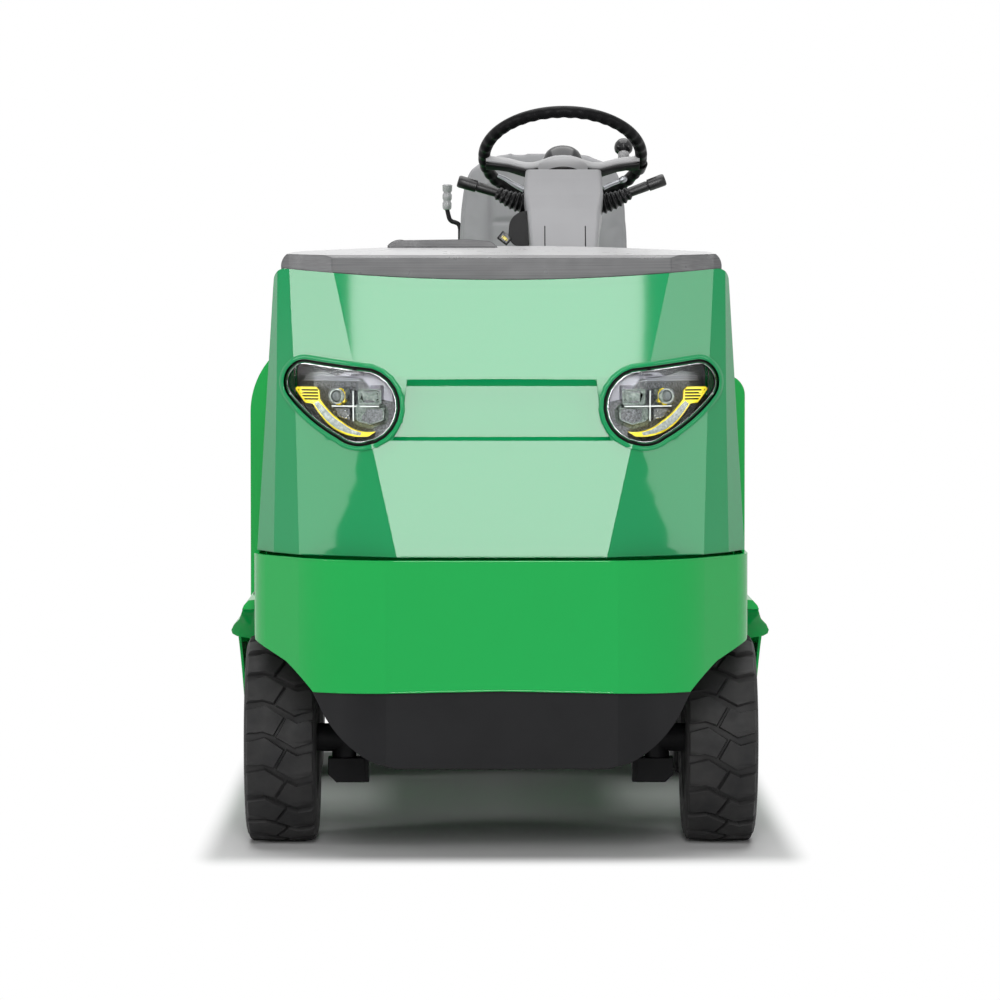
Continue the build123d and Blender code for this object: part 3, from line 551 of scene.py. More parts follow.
# ---------------------------------------------------------------- tyres and wheels
TREAD_RADIUS, TREAD_WIDTH, TREAD_DEPTH, LUGS = 228.0, 143.0, 11.0, 20
LEFT_LUG = ((0, -10), (40, 0), (80, -27), (58, -66), (35, -58), (0, -63))
RIGHT_LUG = ((88, 43), (109, 31), (143, 40), (143, -10), (104, -22), (65, 1))
CARCASS = ((59, 101.8), (61, 117), (66, 121), (70, 128), (73.5, 138), (75, 139.5), (77, 150), (78.4, 163),
           (79, 165), (79, 171), (78.3, 173), (78.6, 185), (78, 204), (76, 211), (74, 214.5), (71, 216.8))
FRONT_AXLE, REAR_AXLE, AXLE_HEIGHT = 480, 1960, 228
# wheel: distance from the middle, axle's station, turn of its tread
WHEELS = {"front_wheel_left": (479, FRONT_AXLE, 10.5), "front_wheel_right": (-479, FRONT_AXLE, 4.9),
          "rear_wheel_left": (517, REAR_AXLE, 8.0), "rear_wheel_right": (-517, REAR_AXLE, 2.0)}


def lug(outline):
    """One tread block laid flat: across the tyre, round it, and above the tread's surface."""
    outline = list(reversed(outline))
    rows = [(inset_outline(outline, grow), height) for grow, height in
            ((-2.2, -TREAD_DEPTH - 1), (-0.3, -2.0), (0.4, -0.5), (1.8, 0.0))]
    block = skin([[(u, v, height) for u, v in row] for row, height in rows])

    def slice_block(mesh):
        for v in range(-72, 60, 12):
            slice_through(mesh, (0, v, 0), (0, 1, 0))
    return worked(block, slice_block)


# where the tread starts to bend down and where it drops off, from the tyre's middle, and how fast
SHOULDER, SHOULDER_DROP, TREAD_EDGE, EDGE_SLOPE = 56, 0.017, 67, 1.667


def tread_place(point, turn):
    """Wraps a flat tread point round the tyre."""
    u, v, height = point
    x = u - TREAD_WIDTH / 2
    shoulder = max(abs(x) - SHOULDER, 0.0)
    r, a = TREAD_RADIUS + height - shoulder * shoulder * SHOULDER_DROP, v / TREAD_RADIUS + math.radians(turn)
    r = min(r, TREAD_RADIUS - 0.5 - max(abs(x) - TREAD_EDGE, 0.0) * EDGE_SLOPE)
    return x, -r * math.cos(a), r * math.sin(a)


def tyre(turn):
    profile = list(CARCASS) + [(0, TREAD_RADIUS - TREAD_DEPTH + 0.6)]
    profile += [(-x, r) for x, r in reversed(CARCASS)]
    points, faces = lathe([(r, x) for x, r in profile], n=120, closed=True)
    shapes = [([(z, x, y) for x, y, z in points], faces)]
    for outline in (LEFT_LUG, RIGHT_LUG):
        points, faces = lug(outline)
        for k in range(LUGS):
            shapes.append(([tread_place(p, turn + k * 360 / LUGS) for p in points], faces))
    return merged(*shapes)


def wheel_details(side):
    """Nuts with studs, and the hub cap, on a rim's outer face, about the wheel's centre."""
    nut = softened(prism(circle(6, 11), 17, 29, "z"), 1.2)
    washer = knob([(14, 16), (14, 18), (12.5, 19.2)], 28)
    stud = knob([(5.5, 20), (5.5, 36), (4.4, 37.5)], 20)
    places = [at(x, y, 0) @ turned("Z", 17 * k) for k, (x, y) in enumerate(circle(6, 76))]
    cap = lathe([(0.01, 51.5), (20, 50.5), (33, 47.5), (38.5, 45), (39, 41), (0.01, 41)], 56)
    outwards = turned("Y", 90 * side)
    return placed(merged(nut, washer, stud), *[outwards @ place for place in places]), placed(cap, outwards)


def wheels():
    for body, (x, station, turn) in WHEELS.items():
        tyre_node, rim_node = body.replace("wheel", "tyre"), body.replace("wheel", "rim")
        centre = at(x, stn(station), AXLE_HEIGHT)
        made = piece("treaded_" + tyre_node, placed(tyre(turn), centre), "tyre", None, 32, body)
        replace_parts(made, tyre_node)
        nuts, cap = wheel_details(1 if x > 0 else -1)
        piece("nuts_" + rim_node, placed(nuts, centre), "bare_steel", body=body)
        piece("cap_" + rim_node, placed(cap, centre), "black_paint", body=body)


# ---------------------------------------------------------------- steering wheel
COLUMN_X, COLUMN_LEAN, WHEEL_STATION, WHEEL_HEIGHT, WHEEL_RIM = 145.0, 32.5, 950, 1519, 180


def grip_ring():
    """Padded rim with finger waves under it."""
    rows = []
    for i, (x, y) in enumerate(circle(320)):
        wave = 0.5 + 0.5 * math.cos(2 * math.pi * i / 8)
        row = []
        for out, up in circle(20):
            r = 14.0 - 3.2 * wave * max(0.0, 0.2 * out - 0.8 * up)
            row.append(((WHEEL_RIM + r * out) * x, (WHEEL_RIM + r * out) * y, r * up))
        rows.append(row)
    return skin(rows, loop=True)


def spoke(side, widths, drop, thickness):
    """Gull-winged arm from the hub to the rim on one side."""
    stations = ((0, -17), (18, -17.5), (34, -20), (52, -23.5), (68, -25), (84, -24), (104, -17.5), (124, -10.5),
                (146, -6.5), (164, -4.5), (176, -3))
    radii = [thickness * 0.4, thickness * 0.4, 3.2, 3.2]
    rows = []
    for (x, z), width in zip(stations, widths):
        section = rounded_outline(corners(-width, width, -thickness, 0), radii, 3)
        rows.append([(side * x, y, z + h - drop) for y, h in section])
    return skin(rows)


def steering():
    # the steering wheel's own frame: x right, y towards the driver, z up the column
    frame_at = at(COLUMN_X, stn(WHEEL_STATION), WHEEL_HEIGHT) @ turned("X", -COLUMN_LEAN)

    def part(name, shape, slot="dark_plastic", look=None, smooth=50):
        return piece(name, shape, slot, look, smooth, "steering_wheel", frame_at)

    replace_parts(part("grip_ring", grip_ring(), look="grip_rubber", smooth=60), "steering_wheel")
    top = (34, 33, 29, 22, 17, 14.5, 13, 12, 11.5, 12.5, 14)
    under = [w - 1.2 for w in top]
    for side, name in ((-1, "left"), (1, "right")):
        part("spoke_cover_" + name, spoke(side, top, 0, 17), "grey_plastic", "light_plastic")
        part("spoke_" + name, spoke(side, under, 17, 9))
    quarter = turned("Z", 90)
    part("spoke_cover_rear", placed(spoke(1, top, 0.6, 8), quarter), "grey_plastic", "light_plastic")
    part("spoke_rear", placed(spoke(1, under, 8.6, 13), quarter))
    part("wheel_hub", knob([(14, -120), (14, -82), (30, -80), (34, -70), (50, -66), (52, -62)], 72), smooth=40)
    cover = knob([(50, -22), (56, -24.5), (61, -28.5), (64, -33.5), (65, -40), (64, -50), (61, -58), (56, -68)], 96)
    # painted shade: the hub cover is darker than the spoke covers to offset the top light falling on it
    part("hub_cover", placed(cover, Matrix.Diagonal((1, 0.62, 1, 1))), "grey_plastic", "hub_shaded_plastic")
    dome = lathe([(0.01, 24.5), (12, 23.8), (22, 21.4), (31, 16.6), (38, 9.5), (43, 0), (46, -11), (47.2, -22),
                  (47.2, -20), (44.5, -21.5), (44.5, -26), (0.01, -26)], 96)
    part("horn_dome", placed(dome, Matrix.Diagonal((1, 0.7, 1, 1))), look="gloss_black")
    ball = lathe([(0.01, 66.5), (8, 65.2), (15.2, 60.6), (20, 53.4), (21.6, 45.2), (20.4, 37.6), (16.2, 32.4),
                  (11, 30.6), (10, 29), (0.01, 29)], 48)
    collar = knob([(12, 29.5), (12.8, 26.5), (12.8, 17), (10.5, 14), (10.5, 6), (15, 3.5), (15, -4)], 40)
    spinner = at(141, 28, 0)
    part("spinner_ball", placed(ball, spinner), look="gloss_black")
    part("spinner_collar", placed(collar, spinner), "grey_plastic", "light_plastic", 40)
    arm = prism(rounded_outline([(128, 15), (168, 17), (189, 27), (189, 44), (166, 46), (128, 40)], 9), -10, 2, "z")
    clamp = placed(lathe([(14.6, -12), (17.5, -12), (17.5, 12), (14.6, 12)], 32, closed=True),
                   turned("Z", 11.8) @ at(WHEEL_RIM, 0, 0) @ turned("X", 90))
    bolt = placed(knob([(4, -2), (4.4, 0), (4.4, 1.5), (7.4, 1.5), (7.4, -3)]), at(150, 15, -6) @ turned("X", 90))
    part("spinner_arm", merged(softened(arm, 2), clamp), smooth=40)
    part("spinner_bolt", bolt, "bare_steel", smooth=40)


# ---------------------------------------------------------------- column levers and small controls
LEVER_Y, BELLOWS_RIBS = stn(880), 7


def bellows(side):
    """Ribbed rubber boot from the column's flank to the lever's neck."""
    root, neck = Vector((side * 78, 0, 1409)), Vector((side * 152, 0, 1436))
    path, radii = [], []
    for i in range(BELLOWS_RIBS * 6 + 1):
        t = i / (BELLOWS_RIBS * 6)
        p = root.lerp(neck, t)
        path.append((COLUMN_X + p.x, LEVER_Y, p.z - 5 * math.sin(math.pi * t)))
        radii.append((28 - 13 * t) * (1 - 0.2 * (0.5 + 0.5 * math.cos(2 * math.pi * BELLOWS_RIBS * t))))
    return sweep(path, radii, 28)


def stick(start, end, stops, n):
    """Straight round bar; stops are pairs of a share of its length and the radius there."""
    return sweep([Vector(start).lerp(Vector(end), t) for t, r in stops], [r for t, r in stops], n)


LEVER_STOPS = ((0, 10), (0.1, 11), (0.52, 11.6), (0.53, 10.6), (0.55, 10.6), (0.56, 13.6), (0.8, 14.0), (0.95, 14.2),
               (0.99, 12.6), (1.0, 10))
GRIP_STOPS = ((0, 6), (0.03, 9.5), (0.1, 11), (0.27, 11.4), (0.33, 9.2), (0.37, 9.2), (0.43, 11.4), (0.6, 11.6),
              (0.65, 9.2), (0.69, 9.2), (0.75, 11.6), (0.9, 12), (0.96, 12.4), (1.0, 9))


def column_controls():
    for side, name, neck, end in ((-1, "left", (-144, 1433.5), (-240, 1462)), (1, "right", (146, 1434), (232, 1466))):
        piece("bellows_" + name, bellows(side), "dark_plastic", "boot_rubber", 50)
        grip = stick(*[(COLUMN_X + x, LEVER_Y, z) for x, z in (neck, end)], LEVER_STOPS, 28)
        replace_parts(piece("lever_" + name, grip, "dark_plastic", "lever_grip", 40), "column_levers")
    blade, rod, knob_line = [[(x, stn(station), z) for x, station, z in line] for line in (
        ((56, 930, 1443), (34, 936, 1455), (14, 944, 1468), (-3, 950, 1476)),
        ((238, 925, 1447), (254, 930, 1455), (276, 934, 1464)),
        ((272, 933, 1462.5), (276, 934, 1464), (283, 935, 1467), (289, 936, 1469.5), (292, 936, 1471)))]
    blade = curved(blade, 8)
    piece("wiper_stalk", sweep(blade, [6.5 - 0.1 * i for i in range(len(blade))], 16), "bare_steel", "stalk_chrome")
    knob_end = sweep(knob_line, [4, 6.5, 8, 6.5, 2], 20)
    piece("signal_stalk", merged(sweep(curved(rod, 8), 5.0, 16), knob_end), "bare_steel", "stalk_chrome")


def column_trim():
    """Shroud seams, and the display on the control pod."""
    grooves = [sweep([(x, front_of("steering_column", x, z), z) for z in range(1262, 1359, 12)], 1.3, 8)
               for x in (101.5, 193)]
    piece("shroud_grooves", merged(*grooves), "dark_plastic")
    tilt = at(COLUMN_X - 134, stn(832 - 12.2), 1331) @ turned("Y", 38)
    frame_ring = softened(prism(rect(-14, 14, -11, 11, 2.5), -1.6, 4), 0.6)
    screen = prism(rect(-11, 11, -8, 8, 1.5), -2.0, 0)
    mark = merged(prism(rect(-4, 5, -3, 3.6, 1), -2.4, -1), cuboid(-7, -5.4, -2.3, -1, -3, 3),
                  cuboid(6.4, 8, -2.3, -1, -3, 3))
    piece("pod_display_frame", placed(frame_ring, tilt), "dark_plastic", "gloss_black")
    piece("pod_display_screen", placed(screen, tilt), "dark_plastic", "gloss_black")
    piece("pod_display_mark", placed(mark, tilt), "light_guide")


def parking_grip():
    """Ribbed three-part grip on the parking brake lever."""
    y = stn(BRAKE_STATION)
    grip = stick((-124.6, y, 1411), (-123.4, y, 1474), GRIP_STOPS, 24)
    piece("parking_grip", grip, "bare_steel", "grip_steel", 40, "seat_hood")
    bends = [(x, y, z) for x, z in ((-92, 850), (-92, 1100), (-92, 1350), (-92.5, 1366), (-96, 1376), (-104, 1380.5),
                                    (-112, 1383), (-118, 1389), (-121, 1399), (-124.5, 1414))]
    foot = softened(cuboid(-114, -70, y - 30, y + 30, 830.3, 870), 4)
    rod = merged(foot, sweep(curved(bends, 8), 5.5, 14))
    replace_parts(piece("brake_lever_rod", rod, "black_paint", body="seat_hood"), "parking_brake_lever")


# ---------------------------------------------------------------- seat
# cell of the even mesh (metres), cloth pressure, frames that it runs for, and width of a seam (millimetres)
PAD_CELL, PAD_PRESSURE, CLOTH_FRAMES, SEAM_WIDTH = 0.0065, 4.0, 20, 5.0
# room left inside the CAD box (metres), before and after the mesh is refined
ROUGH_MARGIN, FINE_MARGIN = 0.0005, 0.0003


def pad_mesh(shape, name):
    """Closed, evenly meshed copy of a shape."""
    obj = new_object(name, shape)
    remesh = obj.modifiers.new("remesh", "REMESH")
    remesh.mode, remesh.voxel_size = "VOXEL", PAD_CELL
    bake(obj)
    return obj


def bake(obj):
    """Applies the modifiers to the mesh."""
    graph = bpy.context.evaluated_depsgraph_get()
    mesh = bpy.data.meshes.new_from_object(obj.evaluated_get(graph))
    obj.modifiers.clear()
    obj.data = mesh


def inflate(obj, cap, held):
    """Cloth pressure on a closed pad; held points stay, and none moves further than the cap."""
    start = [v.co.copy() for v in obj.data.vertices]
    group = obj.vertex_groups.new(name="held")
    for i, co in enumerate(start):
        if held(co):
            group.add([i], 1.0, "REPLACE")
    cloth = obj.modifiers.new("cloth", "CLOTH")
    cloth.settings.use_pressure = True
    cloth.settings.uniform_pressure_force = PAD_PRESSURE
    cloth.settings.quality = 6
    cloth.settings.mass = 0.3
    cloth.settings.tension_stiffness = cloth.settings.compression_stiffness = 22
    cloth.settings.bending_stiffness = 4
    cloth.settings.effector_weights.gravity = 0.0
    cloth.settings.vertex_group_mass = "held"
    scene = bpy.context.scene
    for step in range(1, CLOTH_FRAMES + 1):
        scene.frame_set(step)
    bake(obj)
    scene.frame_set(1)
    for v, co in zip(obj.data.vertices, start):
        move = v.co - co
        if move.length > cap:
            v.co = co + move.normalized() * cap


def restore_size(obj, shape):
    """Scales a pad back to the size of the shape that it was made from."""
    points = [Vector(p) * MM for p in shape[0]]
    for k in range(3):
        low, high = min(p[k] for p in points), max(p[k] for p in points)
        values = [v.co[k] for v in obj.data.vertices]
        start, span = min(values), max(values) - min(values)
        for v in obj.data.vertices:
            v.co[k] = low + (v.co[k] - start) * (high - low) / span


def groove(obj, lines, depth):
    """Presses seams into a pad: a line gives a point's distance from it, or None where it doesn't apply."""
    normals = [v.normal.copy() for v in obj.data.vertices]
    for v, normal in zip(obj.data.vertices, normals):
        p = v.co / MM
        push = 0.0
        for line in lines:
            away = line(p, normal)
            if away is not None:
                push = max(push, math.exp(-(away / SEAM_WIDTH) ** 2))
        v.co -= normal * push * depth * MM


def keep_inside(obj, node, margin):
    low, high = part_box(node)
    for v in obj.data.vertices:
        for k in range(3):
            v.co[k] = min(max(v.co[k], low[k] + margin), high[k] - margin)


def relax(obj, times):
    """Evens out a mesh without shrinking its flat runs much."""
    mesh = bmesh.new()
    mesh.from_mesh(obj.data)
    for _ in range(times):
        bmesh.ops.smooth_vert(mesh, verts=mesh.verts, factor=0.5, use_axis_x=True, use_axis_y=True, use_axis_z=True)
    mesh.to_mesh(obj.data)
    mesh.free()


def make_pad(name, node, shape, evened, cap, held, seams, depth):
    """Padded piece in place of a CAD node: evenly meshed, blown up as cloth, seamed, kept in the node's box."""
    obj = pad_mesh(shape, name)
    relax(obj, evened)
    inflate(obj, cap, held)
    restore_size(obj, shape)
    groove(obj, seams, depth)
    keep_inside(obj, node, ROUGH_MARGIN)
    obj.modifiers.new("fine", "SUBSURF").levels = 1
    bake(obj)
    keep_inside(obj, node, FINE_MARGIN)
    dress(obj, "seat_cover", None, 80, "seat_hood")
    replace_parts(obj, node)


SEAT_X, BRAKE_STATION = 110.0, 1716
# how far the bolsters' seams are from the middle, and where the cross seams are: stations, and heights up the back
CUSHION_BOLSTER, CUSHION_SEAMS = 128, (1230, 1330, 1430, 1530)
BACK_BOLSTER, BACK_SEAMS = 124, (120, 210, 300, 390, 470)


def cushion_shape():
    """Low pad with a rolled front edge and raised side bolsters, a little under its CAD size."""
    rows = []
    for station, fill in ((1166, 0.86), (1172, 0.95), (1190, 1.0), (1300, 1.0), (1450, 1.0), (1600, 1.0),
                          (1626, 0.96), (1634, 0.9)):
        half = 203 * (0.97 + 0.03 * fill)
        high = 928 + 60 * fill - (5 if station < 1180 else 0)
        bolster = high + 6.0 * fill
        right = [(half - 10, 923), (half, 935), (half, high - 16), (half - 12, bolster - 2), (half - 55, bolster - 3),
                 (half - 78, high - 7)]
        ring = [(-right[0][0], 923), *right, (0, high - 9), *[(-x, z) for x, z in reversed(right[1:])]]
        rows.append([(SEAT_X + x, stn(station), z) for x, z in ring])
    return skin(rows)


def seat_cushion():
    def bolster_seam(p, normal):
        return abs(abs(p.x - SEAT_X) - CUSHION_BOLSTER) if normal.z > 0.3 and p.y > stn(1205) else None

    def cross_seam(p, normal):
        if normal.z > 0.3 and abs(p.x - SEAT_X) < CUSHION_BOLSTER:
            return min(abs(p.y - stn(station)) for station in CUSHION_SEAMS)
        return None

    def side_welt(p, normal):
        return abs(p.z - 972) if abs(normal.z) < 0.6 else None

    make_pad("seat_pad", "seat_cushion", cushion_shape(), 3, 0.006, lambda co: co.z < 0.926,
             (bolster_seam, cross_seam, side_welt), 5.0)


BACK_AT = at(SEAT_X, stn(1556), 996) @ turned("X", -8)


def backrest_shape():
    """Tall back with rounded shoulders and a dished centre, in its own upright frame."""
    rows = []
    for z, half in ((4, 202), (60, 205), (160, 208), (290, 208), (380, 204), (440, 198), (490, 190), (520, 177),
                    (540, 152), (550, 122)):
        dish = 9.0 if z < 500 else 9.0 * (540 - z) / 40
        right = [(half - 86, 6 + dish), (half - 62, 6), (half - 26, 4), (half - 8, 8), (half, 26), (half, 66),
                 (half - 10, 82), (half - 40, 88)]
        left = [(-x, y) for x, y in reversed(right)]
        ring = left[3:] + [(0, 6 + dish * 0.8), *right, (0, 90)] + left[:3]
        rows.append([(x, y, z) for x, y in ring])
    rows.append([(x * 0.9, 8 + (y - 8) * 0.9 + 4, 558) for x, y, z in rows[-1]])
    return skin(rows)


def seat_backrest():
    upright = BACK_AT.inverted()

    def bolster_seam(p, normal):
        q = upright @ p
        return abs(abs(q.x) - BACK_BOLSTER) if normal.y < -0.2 and q.z < 505 else None

    def cross_seam(p, normal):
        q = upright @ p
        if normal.y < -0.3 and abs(q.x) < BACK_BOLSTER:
            return min(abs(q.z - level) for level in BACK_SEAMS)
        return None

    def edge_welt(p, normal):
        return abs((upright @ p).y - 22) if abs(normal.y) < 0.85 else None

    make_pad("back_pad", "seat_backrest", placed(backrest_shape(), BACK_AT), 4, 0.007,
             lambda co: (upright @ (co / MM)).z < 12, (bolster_seam, cross_seam, edge_welt), 5.5)


# ---------------------------------------------------------------- headlamps
# the lamp's outline: arcs, each given by its start, a point on it and its end
LAMP_ARCS = (((275, 1047.5), (214, 970), (287, 885)), ((287, 885), (318, 884.5), (347, 898)),
             ((347, 898), (405, 937), (452, 984)), ((452, 984), (465, 1017), (447, 1055)),
             ((447, 1055), (431, 1064.5), (412, 1065.5)), ((412, 1065.5), (342, 1055.5), (275, 1047.5)))


def arc(p, q, r, steps):
    """Points along the circle through three points, without the last one."""
    ax, ay, bx, by, cx, cy = *p, *q, *r
    d = 2 * (ax * (by - cy) + bx * (cy - ay) + cx * (ay - by))
    a2, b2, c2 = ax * ax + ay * ay, bx * bx + by * by, cx * cx + cy * cy
    ux = (a2 * (by - cy) + b2 * (cy - ay) + c2 * (ay - by)) / d
    uy = (a2 * (cx - bx) + b2 * (ax - cx) + c2 * (bx - ax)) / d
    start, mid, end = (math.atan2(y - uy, x - ux) for x, y in (p, q, r))
    turn = (end - start) % (2 * math.pi)
    if (mid - start) % (2 * math.pi) > turn:
        turn -= 2 * math.pi
    radius = math.hypot(ax - ux, ay - uy)
    return [(ux + radius * math.cos(start + turn * k / steps), uy + radius * math.sin(start + turn * k / steps))
            for k in range(steps)]


def lamp_outline():
    return [point for p, q, r in LAMP_ARCS for point in arc(p, q, r, 10)]


def mirrored(shape):
    return [(-x, y, z) for x, y, z in shape[0]], [tuple(reversed(f)) for f in shape[1]]


def band(outline, inner, outer, nodes, proud, thickness):
    """Flat ring between two offsets of an outline, laid on the front of CAD nodes."""
    far, near = [[(x, min(front_of(n, x, z) for n in nodes) - proud, z) for x, z in inset_outline(outline, grow)]
                 for grow in (outer, inner)]
    back = [[(x, y + thickness, z) for x, y, z in row] for row in (far, near)]
    return skin([back[0], far, near, back[1]], loop=True)


LAMP_UNIT, LAMP_GUIDE = "headlamp_unit_left", "headlamp_light_bar_left"


def lamp_pair(name, look, shape, slot="lamp_optics"):
    """Piece of the +X lamp and its mirror image in the other one."""
    piece(name + "_left", shape, slot, look, 30)
    piece(name + "_right", mirrored(shape), slot, look, 30)


def on_unit(outline, proud, thickness):
    return inlay(outline, LAMP_UNIT, proud, thickness)


def lamp_backdrop():
    """Shelf, its ribs, and a lilac crescent behind the lens that is a painted reflection on the lens."""
    shelf = [(292, 1019), (424, 1019), (418, 1030), (408, 1038), (380, 1041), (345, 1029), (300, 1023)]
    lamp_pair("lamp_shelf", "lamp_shelf", on_unit(shelf, 6, 5))
    ribs = [on_unit(corners(300, 418, z, z + 1.4), 8, 3) for z in (1021, 1025, 1029)]
    lamp_pair("lamp_shelf_ribs", "lamp_lilac", merged(*ribs))
    # painted reflection: a lilac crescent piece where the lens shows a reflection
    lilac_reflection = [(346, 1030), (333, 1039), (300, 1038), (268, 1031), (246, 1016), (232, 996), (229, 976), (236, 977),
              (255, 982), (258, 1000), (276, 1003), (285, 1013), (294, 1026)]
    lamp_pair("lamp_lens_reflection", "lamp_lilac", on_unit(lilac_reflection, 4, 4))


def projector():
    """Cell with the projector's eye, the ring round it and the lit crescent beside it."""
    lamp_pair("projector_frame", "lamp_chrome", softened(on_unit(rect(323, 367, 970, 1004, 4), 3, 5), 1.0))
    x, z = 348.5, 988.0
    forward = at(x, front_of(LAMP_UNIT, x, z) - 2, z) @ turned("X", 90)
    eye = lathe([(0.01, 9), (5, 8.2), (9, 6), (11.6, 2.5), (12.3, 0), (12.3, -6), (0.01, -6)], 40)
    lamp_pair("projector_eye", "lamp_eye", placed(eye, forward))
    ring = lathe([(12.4, 2), (13.4, 5), (16.2, 4), (16.6, 0), (16.6, -6), (12.4, -6)], 48, closed=True)
    lamp_pair("projector_ring", "guide_fill", placed(ring, forward))
    inner, outer = [], []
    for k in range(15):
        a = math.radians(105 + 12.5 * k)
        for line, r in ((inner, 16.8), (outer, 17.8 + 5.5 * math.sin(math.pi * k / 14))):
            line.append((x + math.cos(a) * r, z + math.sin(a) * r))
    lamp_pair("projector_crescent", None, on_unit(outer + inner[::-1], 9, 4), "light_guide")


def reflectors(rng):
    """Two pressed cells with a stepped inside, the cross between them, and the nubs and ticks round them."""
    steps = ((0, 2), (0, -3), (1.2, -4), (2.4, -3.4), (5, 0.2), (7, 0.6), (9, -1.6), (11, -2.2))
    for name, points in (("upper", corners(254, 304, 971, 1004)),
                         ("lower", [(304, 936), (278, 929.5), (252, 939), (250, 952), (253, 961.5), (304, 961)])):
        edge = rounded_outline(points, 4)
        cx, cz = (sum(p[i] for p in points) / len(points) for i in (0, 1))
        rows = [[(x, front_of(LAMP_UNIT, cx + (x - cx) * 0.8, cz + (z - cz) * 0.8) + depth - 1.0, z)
                 for x, z in inset_outline(edge, grow)] for grow, depth in steps]
        lamp_pair("reflector_" + name, "lamp_chrome", skin(rows))
    cross = merged(on_unit(corners(259.3, 360.7, 965.5, 968.3), 1.2, 1.8),
                   on_unit(corners(312.5, 315.3, 935.3, 999.7), 1.4, 2.0))
    lamp_pair("lamp_cross", "lamp_white", cross)
    nub = lathe([(0.01, 2.4), (1.6, 1.4), (2.2, -2), (0.01, -2)], 10)
    places = [(rng.uniform(322, 360), rng.uniform(940, 958)) for _ in range(9)]
    nubs = placed(nub, *[at(x, front_of(LAMP_UNIT, x, z) - 1, z) @ turned("X", 90) for x, z in places])
    lamp_pair("lamp_dark_cell", "lamp_silver", nubs)
    ticks = [on_unit([(x, 1031), (x + 2.4, 1031), (x + 1.6, 1035), (x + 0.4, 1035)], 9, 3)
             for x in range(292, 318, 5)]
    lamp_pair("lamp_ticks", None, merged(*ticks), "lamp_housing")


GUIDE_LOWER = ((398.5, 971.5), (391.9, 961.6), (383.9, 950.6), (374.6, 939.3), (363.3, 929), (350.6, 919.2),
               (326, 909.9), (299.7, 905.1))
GUIDE_UPPER = ((390, 977.5), (380.8, 968.5), (373, 960.2), (362.5, 949.3), (352.5, 940.3), (339.4, 931.3),
               (317.5, 917.6), (296, 911.3))


def guide_dressing(rng):
    """Dark stripes over the light guide's head and pale facets along its band; its lit edges stay bare."""
    stripes = [inlay([(x0, z - 3.4), (x1 - 2.4, z - 3.4), (x1, z), (x0, z)], LAMP_GUIDE, 0.5, 1.5)
               for z, x0, x1 in ((1002.2, 390, 435), (996.0, 389.5, 430), (989.6, 389, 425), (983.2, 389, 420.5))]
    lamp_pair("guide_stripes", "gasket", merged(*stripes), "lamp_housing")
    facets = []
    for i in range(len(GUIDE_LOWER) - 1):
        (l0, l1), (u0, u1) = GUIDE_LOWER[i:i + 2], GUIDE_UPPER[i:i + 2]
        lm, um = [((p[0] + q[0]) / 2, (p[1] + q[1]) / 2) for p, q in ((l0, l1), (u0, u1))]
        facets.append(inlay([l0, lm, um, u0], LAMP_GUIDE, 1.5 + 1.4 * (i % 2), 2.2))
        facets.append(inlay([lm, l1, u1, um], LAMP_GUIDE, 0.7 + rng.uniform(0, 1.6), 2.2))
    lamp_pair("guide_facets", "guide_fill", merged(*facets))


def lamp_rings():
    """Green ring painted as the reflection of the body paint, a silver band as a painted highlight just inside the
    lens, and the rounded bezel on the cowl.
    """
    outline, both = lamp_outline(), ("headlamp_left", "headlamp_lens_left")
    # painted reflection: a dark green ring where the lens reflects the green body paint
    lamp_pair("lamp_green_reflection", "green_paint_reflection", band(outline, 5.7, 8.7, both, 1.0, 1.5), "body_paint")
    # painted highlight: a thin silver band stands in for the highlight along the lens edge
    lamp_pair("lamp_edge_highlight", "lamp_silver", band(outline, 8.7, 9.3, both, 0.3, 0.8))
    near, far = [[front_of("front_cowl", x, z) for x, z in inset_outline(outline, grow)] for grow in (-1.2, -8.0)]
    rows = []
    for k in range(9):
        a = math.pi * k / 8
        grow = -4.9 + 4.7 * math.cos(a)
        t = (grow + 1.2) / -6.8
        rows.append([(x, near[i] * (1 - t) + far[i] * t + 0.6 - 3.4 * math.sin(a), z)
                     for i, (x, z) in enumerate(inset_outline(outline, grow))])
    lamp_pair("lamp_bezel", "cowl_paint", skin(rows, caps=False), "body_paint")


def headlamps():
    rng = random.Random(4)
    lamp_backdrop()
    projector()
    reflectors(rng)
    guide_dressing(rng)
    lamp_rings()


# ---------------------------------------------------------------- fine pieces of body and chassis
FACING = {"front": turned("X", 90), "back": turned("X", -90)}
HEX_HEAD = merged(knob([(6.6, 6), (8, 4.8), (8, 1)], 6), knob([(11, 1.8), (11.6, 1.2), (11.6, -1)]))
BUTTON_HEAD = knob([(2.6, 0.9), (3.2, 2.6), (5, 2.3), (6.4, 0.8), (6.6, -1)], 20)
DECK_Z, HOOD_Z, FLOOR_Z = 900.0, 830.0, 500.0
# stations of upright faces
BULKHEAD, BAY_FRONT, HOOD_HINGE, REAR_WALL, JAW_WALL, TOW_PIN = 690, 1180, 1853, 2560, 2616, 2662


def heads(shape, places, way, size=1.0):
    """Copies of a bolt head at (x, station, z) places."""
    return placed(shape, *[at(x, stn(station), z) @ FACING[way] @ Matrix.Scale(size, 4) for x, station, z in places])


def both_sides(shape):
    return merged(shape, mirrored(shape))


def ribs_across(x0, x1, first, last, z, height, count):
    """Low ribs that run across, one behind the other, between two stations of a level surface."""
    out = []
    for k in range(count):
        y = stn(first + (last - first) * k / (count - 1))
        out.append(prism([(y - 3.5, z), (y + 3.5, z), (y + 1.75, z + height), (y - 1.75, z + height)], x0, x1, "x"))
    return merged(*out)


def rect(x0, x1, z0, z1, radius):
    return rounded_outline(corners(x0, x1, z0, z1), radius)


def upright_plate(outline, station, depth):
    """Plate across the vehicle, from a station rearwards."""
    return softened(prism(outline, stn(station), stn(station) + depth), 1.0)


